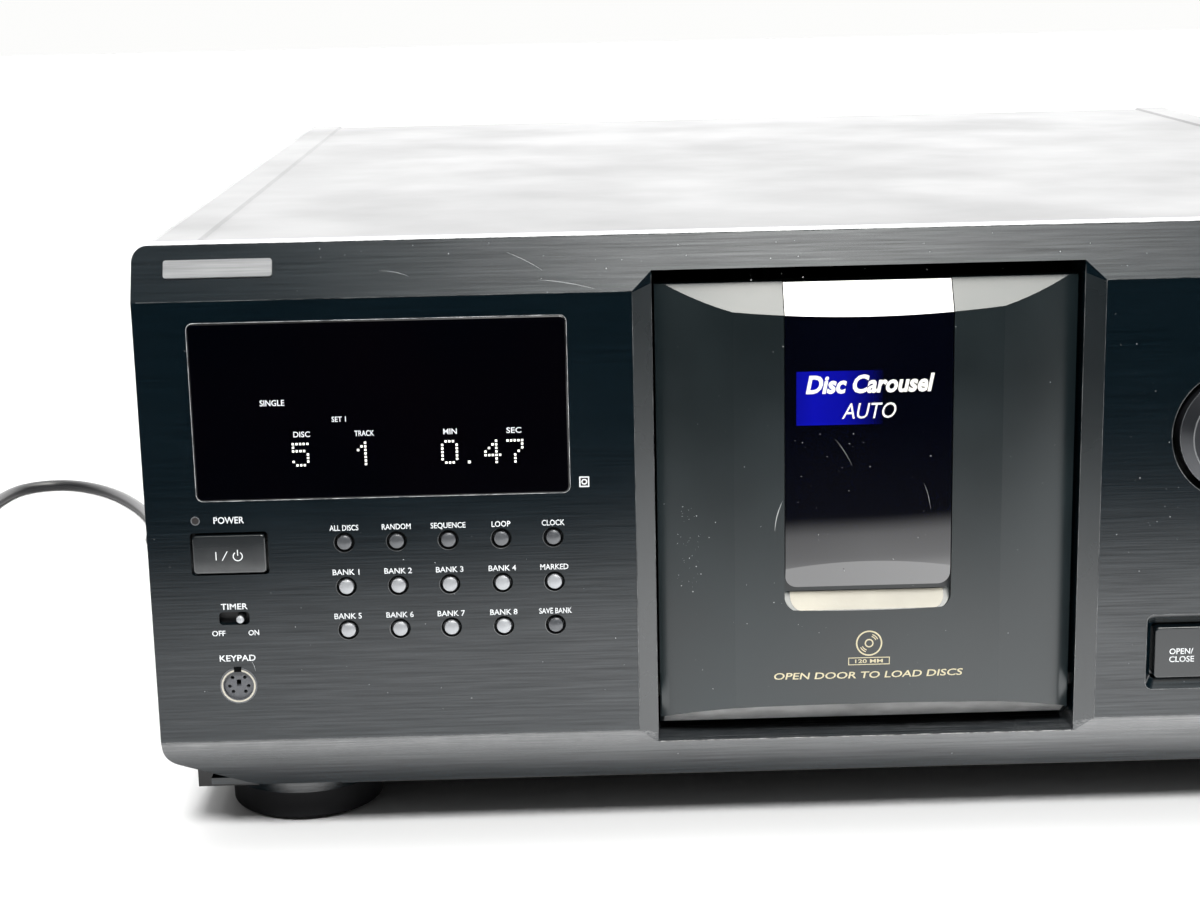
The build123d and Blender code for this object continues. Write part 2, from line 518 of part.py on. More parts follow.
def door_shell():
    shell = door_blank()
    hollow = plan_slab(door_plan(3.0, DOOR_HALF - 2.6, DOOR_BACK + 4), CHIN_EDGE + 5, LENS_EDGE - 4)
    hollow -= block(-28, 28, FRONT - 5, FRONT + 6.2, 68, 200)
    shell -= hollow
    floor_y = FRONT + POCKET_DEPTH
    pocket = side_slab([(FRONT - 3, POCKET_LOW - 2.5), (FRONT + 0.2, POCKET_LOW), (floor_y, 78.4),
                        (floor_y, LENS_EDGE), (floor_y + lens_depth(200), 200), (FRONT - 3, 200)],
                       -POCKET_HALF, POCKET_HALF)
    shell -= pocket & front_slab(pocket_outline(POCKET_HALF, POCKET_LOW - 0.2, 4.6), FRONT - 4, FRONT + 30)
    axis_y = FRONT + DOOR_AXIS_BACK
    for side in (-1, 1):
        x = sorted((side * 57.0, side * (DOOR_HALF - 0.4)))
        arm = side_slab([(FRONT + 9, 90), (FRONT + 12, 90), (axis_y + 5, DOOR_AXIS_Z + 4),
                         (axis_y + 5, DOOR_AXIS_Z), (axis_y - 4.5, DOOR_AXIS_Z)], *x)
        arm += rod_x(*x, axis_y, DOOR_AXIS_Z, 5.0)
        shell += arm
        bore = sorted((side * 50.0, side * (DOOR_HALF + 0.5)))
        shell -= rod_x(*bore, axis_y, DOOR_AXIS_Z, 2.08)
    toothed = gear_x(DOOR_TEETH, 1.0, 51.0, 55.0, axis_y, DOOR_AXIS_Z, 2.08, DOOR_MESH_ANGLE)
    reach = 30.0
    wedge = [(axis_y, DOOR_AXIS_Z)] + [
        (axis_y + reach * math.cos(math.radians(a)), DOOR_AXIS_Z + reach * math.sin(math.radians(a)))
        for a in (-32, 0, 40, 76)]
    sector = toothed & side_slab(wedge, 50.0, 56.0)
    hub = rod_x(51.0, 57.5, axis_y, DOOR_AXIS_Z, 5.0) - rod_x(50.0, 58.0, axis_y, DOOR_AXIS_Z, 2.08)
    return shell + sector + hub


def door_window():
    """Glossy insert of the door: it follows the front and the lens, and turns in at its foot."""
    back_y = FRONT + POCKET_DEPTH - 0.1
    window = door_blank() & side_slab([(FRONT - 3, 60), (back_y, 60), (back_y, LENS_EDGE),
                                       (back_y + lens_depth(200), 200), (FRONT - 3, 200)], -60, 60)
    window &= front_slab(pocket_outline(WINDOW_HALF, WINDOW_LOW, 3.6), FRONT - 4, FRONT + 30)
    slope = 1.9 / (WINDOW_BEND - WINDOW_LOW)
    below = WINDOW_LOW - 6
    window -= side_slab([(FRONT - 5, below), (FRONT + slope * (WINDOW_BEND - below), below),
                         (FRONT, WINDOW_BEND), (FRONT - 5, WINDOW_BEND)], -30, 30)
    return window


def door_pins():
    pins = []
    for side in (-1, 1):
        x = sorted((side * 50.5, side * 68.5))
        pins.append(rod_x(*x, FRONT + DOOR_AXIS_BACK, DOOR_AXIS_Z, 2.0))
    return Compound(children=pins)


def door_mesh_centre():
    reach = (DOOR_TEETH + DOOR_PINION_TEETH) / 2
    angle = math.radians(DOOR_MESH_ANGLE)
    return FRONT + DOOR_AXIS_BACK + reach * math.cos(angle), DOOR_AXIS_Z + reach * math.sin(angle)


def door_pinion():
    """The pinion's first gap faces the sector's tooth on the line of centres."""
    y, z = door_mesh_centre()
    gap = DOOR_MESH_ANGLE + 180 + 180 / DOOR_PINION_TEETH
    return gear_x(DOOR_PINION_TEETH, 1.0, 51.0, 56.0, y, z, 1.05, gap)


# ---- carousel ----
def carousel():
    """Turntable with a hub, a toothed ring below and a comb of disc slots round the rim."""
    base = rod_z(0, 0, TABLE_Z, TABLE_Z + 2.5, RING_R)
    base += rod_z(0, 0, TABLE_Z - 5, TABLE_Z + 26, HUB_R + 2.6)
    base -= rod_z(0, 0, TABLE_Z - 10, TABLE_Z + 40, HUB_R)
    pitch_r = TABLE_MODULE * TABLE_TEETH / 2
    ring = plan_slab(gear_sketch(TABLE_TEETH, TABLE_MODULE, pitch_r - 6), TABLE_Z - 6, TABLE_Z)
    outer = Circle(RING_R).face().outer_wire()
    points = []
    root_r = RING_R - 2.5
    for slot in range(SLOTS):
        a = 2 * math.pi * (slot + 0.25) / SLOTS - math.pi / 2
        for r, side in ((SLOT_INNER_R, -1), (root_r, -1), (root_r, 1), (SLOT_INNER_R, 1)):
            half = SLOT_WIDTH / 2 / r
            points.append((r * math.cos(a + side * half), r * math.sin(a + side * half)))
    comb_face = Face(outer, [Wire.make_polygon([Vector(x, y, 0) for x, y in points], close=True)])
    comb = plan_slab(comb_face, TABLE_Z + 2.5, COMB_TOP)
    return Compound(children=[base.solids()[0], ring.solids()[0], comb.solids()[0]])


def table_gear_centre():
    return 0.0, TABLE_MODULE * (TABLE_TEETH + TABLE_PINION_TEETH) / 2


def table_gear():
    x, y = table_gear_centre()
    turned = 270 + 180 / TABLE_PINION_TEETH
    gear = Pos(x, y) * Rot(0, 0, turned) * gear_sketch(TABLE_PINION_TEETH, TABLE_MODULE, 1.55)
    return plan_slab(gear, TABLE_Z - 6, TABLE_Z - 0.6)


# ---- player ----
def player_frame():
    """Base with the carousel's bearing ring, an upright wall, rod blocks and clamp lugs."""
    frame = rod_z(0, 0, 26, 30, HUB_R - 0.08)
    frame += rod_z(0, 0, 30, 52, HUB_R - 0.08) - rod_z(0, 0, 29, 53, HUB_R - 3.0)
    for angle in (30, 150, 270):
        a = math.radians(angle)
        frame += rod_z(60 * math.cos(a), 60 * math.sin(a), PAN_FLOOR + 1.2, 26, 6)
    frame += block(WALL_X, WALL_X + WALL, -62, 62, 30, 172)
    frame += block(WALL_X, WALL_X + WALL, 60, 69, SPINDLE_Z - 15, SPINDLE_Z + 15)
    frame -= rod_x(5, 16, 0, SPINDLE_Z, 4.0)
    frame -= rounded_x_slot(20.0, 65.0, SPINDLE_Z, 5.0)
    for y0, y1 in ((14.0, 17.0), (66.0, 69.0)):
        frame += block(WALL_X, 22.0, y0, y1, SPINDLE_Z - 15, SPINDLE_Z + 15)
    for y in (-17.0, 13.5):
        frame += block(-13.5, WALL_X, y, y + 3.5, CLAMP_Z - 4, CLAMP_Z + 5)
    for x, z in ((18.0, SPINDLE_Z - 11), (18.0, SPINDLE_Z + 11)):
        frame -= rod_y(x, 10, 80, z, 1.5)
    frame -= rod_y(-9.25, -20, 20, CLAMP_Z, 1.5)
    frame -= rod_x(5, 16, LEVER_Y, LEVER_Z, 1.5)
    frame -= rod_x(5, 16, LEVER_Y + 20, LEVER_Z, 1.6)
    return frame


def rounded_x_slot(y0, y1, z, r):
    slot = block(5, 16, y0 + r, y1 - r, z - r, z + r)
    return slot + rod_x(5, 16, y0 + r, z, r) + rod_x(5, 16, y1 - r, z, r)


def steel_rods():
    """Two sled rods, the clamp's hinge pin and the lever's pivot."""
    rods = [rod_y(18.0, 14, 69, SPINDLE_Z + dz, 1.5) for dz in (-11, 11)]
    rods.append(rod_y(-9.25, -17, 17, CLAMP_Z, 1.5))
    rods.append(rod_x(3.5, WALL_X + WALL, LEVER_Y, LEVER_Z, 1.5))
    return Compound(children=rods)


def drive_motors():
    """Three small motors with their shafts: under the carousel, at the loader and at the door."""
    x, y = table_gear_centre()
    table = rod_z(x, y, PAN_FLOOR + 1.2, 28.5, 12.0) + rod_z(x, y, 28.5, TABLE_Z - 1, 1.5)
    loader = rod_x(WALL_X + WALL, 34.0, LEVER_Y + 20, LEVER_Z, 8.0)
    loader += rod_x(4.2, WALL_X + WALL, LEVER_Y + 20, LEVER_Z, 1.5)
    door_y, door_z = door_mesh_centre()
    door = rod_x(66.5, 88.0, door_y, door_z, 7.5) + rod_x(50.6, 66.5, door_y, door_z, 1.0)
    return Compound(children=[m.solids()[0] for m in (table, loader, door)])


def spindle_motor():
    motor = rod_x(WALL_X + WALL, WALL_X + WALL + 11, 0, SPINDLE_Z, 12.0)
    return motor - rod_x(5, 20, 0, SPINDLE_Z, 1.57)


def disc_hub():
    hub = rod_x(1.0, 3.2, 0, SPINDLE_Z, 16.0) + rod_x(-1.5, 1.0, 0, SPINDLE_Z, 7.3)
    return hub + rod_x(3.2, 19.0, 0, SPINDLE_Z, 1.5)


def disc_clamp():
    clamp = rod_x(-6.0, -1.0, 0, SPINDLE_Z, 14.0) - rod_x(-2.2, 0, 0, SPINDLE_Z, 8.0)
    return clamp + rod_x(-12.0, -6.0, 0, SPINDLE_Z, 2.0) + rod_x(-12.8, -12.0, 0, SPINDLE_Z, 3.4)


def clamp_arm():
    arm = block(-10.5, -8.0, -9, 9, SPINDLE_Z - 8, CLAMP_Z) + rod_y(-9.25, -12.8, 12.8, CLAMP_Z, 4.0)
    arm -= rod_y(-9.25, -14, 14, CLAMP_Z, 1.56)
    return arm - rod_x(-14, -6, 0, SPINDLE_Z, 2.06)


def optical_pickup():
    sled = block(14.0, 22.0, 18.5, 33.0, SPINDLE_Z - 14, SPINDLE_Z + 14)
    sled += rod_x(3.0, 14.0, 26.0, SPINDLE_Z, 4.2)
    for dz in (-11, 11):
        sled -= rod_y(18.0, 10, 50, SPINDLE_Z + dz, 1.56)
    return sled


def loading_lever():
    """Arm that rolls a disc between its slot and the spindle, with its own toothed sector."""
    toothed = gear_x(LEVER_TEETH, 1.0, 4.5, 8.0, LEVER_Y, LEVER_Z, 1.56)
    wedge = [(LEVER_Y, LEVER_Z)] + [
        (LEVER_Y + 25 * math.cos(math.radians(a)), LEVER_Z + 25 * math.sin(math.radians(a)))
        for a in (-12, 10, 30, 46)]
    lever = (toothed & side_slab(wedge, 4.0, 8.5)) + rod_x(4.5, 8.0, LEVER_Y, LEVER_Z, 6.0)
    lever += side_slab([(LEVER_Y - 5, LEVER_Z), (LEVER_Y - 26, 82), (LEVER_Y - 22, 88), (LEVER_Y - 18, 84),
                        (LEVER_Y + 5, LEVER_Z + 2)], 4.5, 8.0)
    lever += rod_x(-1.5, 4.5, LEVER_Y - 22, 84, 2.0)
    return lever - rod_x(3, 9, LEVER_Y, LEVER_Z, 1.56)


def loading_gear():
    gap = 180 + 180 / LOADER_TEETH
    return gear_x(LOADER_TEETH, 1.0, 4.5, 8.5, LEVER_Y + 20, LEVER_Z, 1.56, gap)


# ---- electronics ----
def main_board():
    board = block(60, 200, 60, 205, 18.0, 19.6)
    for x, y, w, d, h in ((95, 95, 24, 24, 2.6), (150, 110, 18, 18, 2.6), (120, 170, 30, 12, 5),
                          (180, 170, 10, 10, 8), (165, 188, 10, 10, 8), (80, 150, 12, 30, 4)):
        board += block(x - w / 2, x + w / 2, y - d / 2, y + d / 2, 19.6, 19.6 + h)
    for x, y in ((66, 66), (194, 66), (194, 150), (66, 199)):
        board += rod_z(x, y, PAN_FLOOR + 1.2, 18.0, 3)
    return board


def transformer():
    """Laminated core with its winding, in the corner behind the carousel."""
    core = block(-205, -158, 176, 212, PAN_FLOOR + 1.2, 54)
    winding = block(-200, -163, 168, 219, 20, 47)
    return core + winding


# ---- mains lead ----
def lead_route():
    """Free stretch of the lead, from its strain relief to the coil."""
    rear_loop = [(LEAD_X, 482.25, LEAD_Z), (LEAD_X, 504, LEAD_Z), (-196, 524, 12), (-212, 540, 4),
                 (-235, 541, 2.75), (-252, 526, 2.75), (-258, 500, 2.75), (-252, 462, 2.75),
                 (-240, 425, 2.75)]
    side_loop = [(-231, 390, 2.75), (-230, 362, 2.75), (-246, 345, 2.75), (-270, 345, 2.75),
                 (-287, 362, 2.75), (-288, 392, 2.75)]
    seen = [(-303, 432, 2.75), (-326, 469, 2.75), (-352, 488, 2.75), (-374, 480, 2.75), (-380, 456, 2.75)]
    to_coil = [(-381, 430, 2.75), (-386, 404, 2.75), (-386, 380, 2.75)]
    return [Vector(x, FRONT + y, z) for x, y, z in rear_loop + side_loop + seen + to_coil]


def corner_radii(points):
    """The largest arc that each corner's two runs allow."""
    radii = []
    for before, here, after in zip(points, points[1:], points[2:]):
        turn = math.radians((here - before).get_angle(after - here))
        shorter = min((here - before).length, (after - here).length)
        radii.append(0.45 * shorter / math.tan(turn / 2))
    return radii


def power_cord():
    points = lead_route()
    radii = corner_radii(points)
    path = FilletPolyline(*points, radius=radii)
    print("lead corner radii", [round(r) for r in radii], "length", round(path.length, 1))
    start = Plane(origin=points[0], z_dir=(points[1] - points[0]).normalized())
    tube = sweep(start * Circle(CORD_D / 2), path=path)
    section = math.pi * CORD_D ** 2 / 4
    print("tube volume over section times length", round(tube.volume / (section * path.length), 4))
    return tube


def coil_point(turn):
    """Place and direction on the coil after some turns: inward below, outward above."""
    half = COIL_TURNS / 2
    climb = 0.25
    depth = min(max((turn - (half - climb)) / (2 * climb), 0.0), 1.0)
    radius = COIL_IN_R + (COIL_OUT_R - COIL_IN_R) * abs(half - turn) / half
    smooth = depth * depth * (3 - 2 * depth)
    angle = -2 * math.pi * turn
    return Vector(COIL_X + radius * math.cos(angle), COIL_Y + radius * math.sin(angle),
                  CORD_D / 2 + COIL_LAYER * smooth)


def coil_direction(turn):
    step = 1e-3
    return (coil_point(min(turn + step, COIL_TURNS)) - coil_point(max(turn - step, 0.0))).normalized()


def biarc(p0, t0, p1, t1):
    """Two arcs that leave p0 along t0 and reach p1 along t1."""
    v, s = p1 - p0, t0 + t1
    a, b, c = 2 * (t0.dot(t1) - 1), -2 * v.dot(s), v.dot(v)
    d = -c / b if abs(a) < 1e-9 else (-b - math.sqrt(b * b - 4 * a * c)) / (2 * a)
    middle = (p0 + t0 * d + p1 - t1 * d) * 0.5
    along = ((p1 - t1 * d) - (p0 + t0 * d)).normalized()
    return [TangentArc(p0, middle, tangent=t0), TangentArc(middle, p1, tangent=along)]


def coil_path():
    lead_end = lead_route()[-1]
    quarter = 0.25
    knots = [(lead_end, Vector(0, -1, 0)), (lead_end + Vector(0, -CORD_D, 0), Vector(0, -1, 0))]
    turns = [k * quarter for k in range(1, int(COIL_TURNS / quarter) + 1)]
    knots += [(coil_point(t), coil_direction(t)) for t in turns]
    last, direction = knots[-1]
    flat = Vector(direction.X, direction.Y, 0).normalized()
    knots[-1] = (last, flat)
    edges = [Line(knots[0][0], knots[1][0])]
    for (p0, t0), (p1, t1) in zip(knots[1:], knots[2:]):
        edges += biarc(p0, t0, p1, t1)
    tail_end = last + flat * COIL_TAIL
    edges.append(Line(last, tail_end))
    return Wire(edges), tail_end, flat


def coil_gap(path):
    """Least distance between turns, measured on points along the path."""
    count = 900
    points = [path.position_at(k / count) for k in range(count + 1)]
    skip = int(count * 60 / path.length)
    least = 1e9
    for k in range(count):
        for m in range(k + skip, count + 1):
            d = (points[k] - points[m]).length
            least = min(least, d)
    return least - CORD_D


def cord_coil():
    path, _, _ = coil_path()
    print("coil length", round(path.length, 1), "least gap", round(coil_gap(path), 2))
    start = lead_route()[-1]
    section = Plane(origin=start, z_dir=(0, -1, 0)) * Circle(CORD_D / 2)
    return sweep(section, path=path)


def power_plug():
    """Two-blade plug that lies on the floor at the coil's end."""
    _, end, flat = coil_path()
    across = Vector(-flat.Y, flat.X, 0)
    plane = Plane(origin=end, x_dir=across, z_dir=flat)
    nose = loft([(plane * Circle(3.4)).faces()[0], (plane.offset(12) * Circle(6.0)).faces()[0]])
    body = extrude(plane.offset(12) * RectangleRounded(24, 2 * end.Z, 4), amount=22)
    body += extrude(plane.offset(34) * RectangleRounded(19, 2 * end.Z - 3.4, 4), amount=3)
    plug = nose + body
    for side in (-1, 1):
        plug += extrude(plane.offset(37) * (Pos(side * 6.35, 0) * Rectangle(1.5, 6.3)), amount=16)
    return plug


def strain_relief():
    """Tapered bush that holds the lead at the rear panel."""
    collar = rod_y(LEAD_X, REAR - 3.0, REAR + 3.0, LEAD_Z, 6.0)
    plane = Plane(origin=(LEAD_X, REAR + 3.0, LEAD_Z), x_dir=(1, 0, 0), z_dir=(0, 1, 0))
    taper = loft([(plane * Circle(5.2)).faces()[0],
                  (plane.offset(RELIEF_LENGTH - 3.0) * Circle(3.5)).faces()[0]])
    return collar + taper


# ---- write every piece ----
pieces = {
    "front_panel": front_panel, "top_cover": top_cover, "chassis_pan": chassis_pan, "rear_panel": rear_panel,
    "feet": feet, "foot_pads": foot_pads, "case_screws": case_screws, "display_window": display_window,
    "display_tube": display_tube, "front_boards": front_boards, "name_plate": name_plate,
    "standby_led": standby_led, "sensor_window": sensor_window, "keyboard_socket": keyboard_socket,
    "rear_jacks": rear_jacks, "main_board": main_board, "transformer": transformer,
    "player_frame": player_frame, "steel_rods": steel_rods, "drive_motors": drive_motors,
    "spindle_motor": spindle_motor, "disc_hub": disc_hub, "disc_clamp": disc_clamp, "clamp_arm": clamp_arm,
    "optical_pickup": optical_pickup, "loading_lever": loading_lever, "loading_gear": loading_gear,
    "door_shell": door_shell, "door_window": door_window, "door_pins": door_pins,
    "door_pinion": door_pinion, "carousel": carousel, "table_gear": table_gear, "timer_knob": timer_knob,
    "strain_relief": strain_relief, "power_cord": power_cord, "cord_coil": cord_coil,
    "power_plug": power_plug,
}
for name, make in pieces.items():
    export(name, make())

export("disc_dial", dial(*DISC_DIAL, 0.8))
export("track_dial", dial(*TRACK_DIAL, 0.4))
export("power_button", flat_key(POWER_X, POWER_Z, POWER_W, POWER_H))
for name, (key_x, key_w) in TRANSPORT_KEYS.items():
    export(name, flat_key(key_x, TRANSPORT_Z, key_w, TRANSPORT_H))
for row, key_z in enumerate(KEY_ROWS):
    for column, key_x in enumerate(KEY_COLUMNS):
        export(f"key_{row + 1}_{column + 1}", round_key(key_x, key_z))
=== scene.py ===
import math

import bpy
import numpy as np
from mathutils import Matrix, Vector


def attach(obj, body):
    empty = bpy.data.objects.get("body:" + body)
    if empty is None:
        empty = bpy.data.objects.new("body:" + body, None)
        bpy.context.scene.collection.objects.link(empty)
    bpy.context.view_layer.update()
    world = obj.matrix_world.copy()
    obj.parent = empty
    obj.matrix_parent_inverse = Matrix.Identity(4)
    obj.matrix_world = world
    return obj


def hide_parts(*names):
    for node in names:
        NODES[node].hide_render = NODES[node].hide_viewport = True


# A disc changer on a pale floor. Metres; X to the viewer's right, Y to the rear, Z up, as in the packed
# model. The pieces are worked out in millimetres, with depths counted rearwards from the flat main face.
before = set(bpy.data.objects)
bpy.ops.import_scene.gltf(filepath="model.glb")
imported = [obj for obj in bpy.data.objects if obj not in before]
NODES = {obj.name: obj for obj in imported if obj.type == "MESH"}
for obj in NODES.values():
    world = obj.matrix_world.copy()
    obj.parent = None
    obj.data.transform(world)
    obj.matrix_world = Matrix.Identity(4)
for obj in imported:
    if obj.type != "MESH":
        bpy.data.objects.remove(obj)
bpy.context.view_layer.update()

MM = 0.001
FACE_Y = -234.75                                    # the flat main face
REAR_DEPTH = 458.0                                  # the rear panel, behind the main face
PANEL_HALF = 213.5                                  # half of the panel's width
RECESS_HALF = 69.5                                  # half of the door recess, at the face
BAND_Z = 171.8                                      # the top band leans back above this height

# places on the front: x and z of the middle, and where it's needed the width and height
LAMP = (-200.3, 106.1)
POWER_KEY = (-190.7, 95.8, 21.4, 11.4)
DISPLAY = (-144.15, 138.65, 110.9, 53.6)
SOCKET = (-190.4, 54.5)
DOOR_MARK = (0.4, 62.6)
KEY_COLUMNS, KEY_ROWS = (-156.4, -140.85, -125.45, -109.7, -94.15), (98.45, 84.7, 71.2)
TRANSPORT_Z = 57.3
TRANSPORT_KEYS = ((98.0, 21.6), (131.5, 30.0), (161.5, 14.8), (187.5, 21.6))    # x and width
DIALS = (("disc_dial", 110.5, 124.5, 18.05), ("track_dial", 172.0, 131.0, 10.5))  # x, z and radius


# ---- camera: 65.35 mm lens, a little left of the middle, looking down 13 degrees ----
def place_camera():
    """Camera from its turn to the left, its look down and its roll, in radians, and its place in metres."""
    yaw, pitch, roll = -0.01545, 0.22371, -0.02195
    turn = Matrix.Rotation(yaw, 3, "Z") @ Matrix.Rotation(-pitch, 3, "X")
    right, ahead, up = turn.col[0], turn.col[1], turn.col[2]
    tilted_right = math.cos(roll) * right + math.sin(roll) * up
    tilted_up = -math.sin(roll) * right + math.cos(roll) * up
    data = bpy.data.cameras.new("camera")
    data.lens, data.sensor_width = 65.348, 36.0
    data.clip_start, data.clip_end = 0.01, 50.0
    camera = bpy.data.objects.new("camera", data)
    camera.matrix_world = Matrix((
        (tilted_right[0], tilted_up[0], -ahead[0], -0.08943),
        (tilted_right[1], tilted_up[1], -ahead[1], -0.86271),
        (tilted_right[2], tilted_up[2], -ahead[2], 0.26751),
        (0.0, 0.0, 0.0, 1.0)))
    bpy.context.scene.collection.objects.link(camera)
    bpy.context.scene.camera = camera


place_camera()
scene = bpy.context.scene
scene.view_settings.view_transform = "Standard"


# ---- small helpers for node trees ----
def put(tree, target, value):
    """Joins an output to an input, or sets the input to a number or a colour."""
    if isinstance(value, bpy.types.NodeSocket):
        tree.links.new(value, target)
    else:
        target.default_value = value


def add(tree, kind, inputs={}, **settings):
    """A new node with some of its settings, and with inputs by label or number as put takes them."""
    node = tree.nodes.new(kind)
    for key, value in settings.items():
        setattr(node, key, value)
    for label, value in inputs.items():
        put(tree, node.inputs[label], value)
    return node


def ramp(tree, source, stops):
    """Colour ramp of grey or RGB stops: [(position, value), ...]."""
    node = add(tree, "ShaderNodeValToRGB", {"Fac": source})
    elements = node.color_ramp.elements
    while len(elements) > 1:
        elements.remove(elements[-1])
    for index, (position, value) in enumerate(stops):
        element = elements[0] if index == 0 else elements.new(position)
        element.position = position
        element.color = (value, value, value, 1) if np.isscalar(value) else (*value, 1)
    return node.outputs["Color"]


def spread(tree, source, low, high, to_low=0.0, to_high=1.0):
    """Carries low..high to to_low..to_high in a straight line, and stops at both ends."""
    limits = {"From Min": low, "From Max": high, "To Min": to_low, "To Max": to_high}
    return add(tree, "ShaderNodeMapRange", {"Value": source, **limits}).outputs["Result"]


def calculate(tree, operation, *values):
    """A math node; each value may be a number or an output."""
    return add(tree, "ShaderNodeMath", dict(enumerate(values)), operation=operation).outputs["Value"]


def mix(tree, first, second, amount=1.0, kind="MIX"):
    """Two colours mixed, multiplied or added, or the lighter one taken; each may be a colour or an output."""
    first, second = ((*colour, 1) if isinstance(colour, tuple) else colour for colour in (first, second))
    inputs = {0: amount, 6: first, 7: second}
    return add(tree, "ShaderNodeMix", inputs, data_type="RGBA", blend_type=kind).outputs[2]


def mix_shaders(tree, mask, first, second):
    """The first shader where the mask is 0, the second where it is 1."""
    return add(tree, "ShaderNodeMixShader", {0: mask, 1: first, 2: second}).outputs["Shader"]


def axes(tree, label):
    """X, Y and Z of a texture coordinate, by name."""
    place = add(tree, "ShaderNodeTexCoord").outputs[label]
    return add(tree, "ShaderNodeSeparateXYZ", {"Vector": place}).outputs


def stretched_noise(tree, position, stretch, detail, roughness):
    """Noise at position times stretch."""
    scaled = add(tree, "ShaderNodeVectorMath", {0: position, 1: stretch}, operation="MULTIPLY")
    return add(tree, "ShaderNodeTexNoise", {"Vector": scaled.outputs["Vector"], "Scale": 1.0,
                                            "Detail": detail, "Roughness": roughness}).outputs["Fac"]


def new_group(name, numbers, results):
    """An empty node group with a Vector input, numbers with their defaults, and the labels of its results."""
    group = bpy.data.node_groups.new(name, "ShaderNodeTree")
    group.interface.new_socket("Vector", in_out="INPUT", socket_type="NodeSocketVector")
    for label, value in numbers.items():
        socket = group.interface.new_socket(label, in_out="INPUT", socket_type="NodeSocketFloat")
        socket.default_value = value
    for label in results:
        group.interface.new_socket(label, in_out="OUTPUT", socket_type="NodeSocketFloat")
    return group, add(group, "NodeGroupInput").outputs, add(group, "NodeGroupOutput").inputs


def fine_brushing():
    """Lengthwise hairlines: noise stretched along X, so that it changes fast only across the lines."""
    group, given, result = new_group(
        "fine_brushing", {"Line pitch": 1500.0, "Line length": 32.0}, ("Lines", "Height"))
    pitch = given["Line pitch"]
    stretch = add(group, "ShaderNodeCombineXYZ", {"X": given["Line length"], "Y": pitch, "Z": pitch})
    noise = stretched_noise(group, given["Vector"], stretch.outputs["Vector"], 3.0, 0.65)
    put(group, result["Lines"], ramp(group, noise, [(0.3, 0.0), (0.72, 1.0)]))
    put(group, result["Height"], noise)
    return group


def moulded_grain():
    """Fine even texture of moulded or painted surfaces, with a slow change of tone over the piece."""
    group, given, result = new_group(
        "moulded_grain", {"Grain scale": 1800.0, "Cloud scale": 18.0}, ("Cloud", "Height"))
    grain, cloud = (
        add(group, "ShaderNodeTexNoise",
            {"Vector": given["Vector"], "Scale": given[label], "Detail": detail}).outputs["Fac"]
        for label, detail in (("Grain scale", 2.0), ("Cloud scale", 4.0)))
    put(group, result["Cloud"], ramp(group, cloud, [(0.32, 0.0), (0.7, 1.0)]))
    put(group, result["Height"], grain)
    return group


def settled_dust():
    """Sparse small specks of dust: a disc in one of 25 cells of a random pattern."""
    group, given, result = new_group("settled_dust", {"Speck scale": 330.0, "Speck size": 0.055}, ("Specks",))
    cells = add(group, "ShaderNodeTexVoronoi", {"Vector": given["Vector"], "Scale": given["Speck scale"]},
                feature="F1")
    near = calculate(group, "LESS_THAN", cells.outputs["Distance"], given["Speck size"])
    chance = add(group, "ShaderNodeSeparateColor", {"Color": cells.outputs["Color"]}).outputs["Red"]
    chosen = calculate(group, "GREATER_THAN", chance, 0.96)
    put(group, result["Specks"], calculate(group, "MULTIPLY", near, chosen))
    return group


BRUSHING, GRAIN, DUST = fine_brushing(), moulded_grain(), settled_dust()
DUST_COLOUR = (0.55, 0.56, 0.58)
BUMP_DEPTH = 0.00008                                # metres
HEIGHT_SPAN = 0.2                                   # metres of height that a tone by height covers
MATERIALS = {}


def placed(tree, group, position, **numbers):
    """The outputs of a group placed in a tree, with some of its numbers given by their labels."""
    inputs = {label.replace("_", " "): value for label, value in numbers.items()}
    return add(tree, "ShaderNodeGroup", {"Vector": position, **inputs}, node_tree=group).outputs


def set_shader(tree, inputs):
    """Sets or joins inputs of a material's Principled shader."""
    for label, value in inputs.items():
        put(tree, tree.nodes["Principled BSDF"].inputs[label], value)


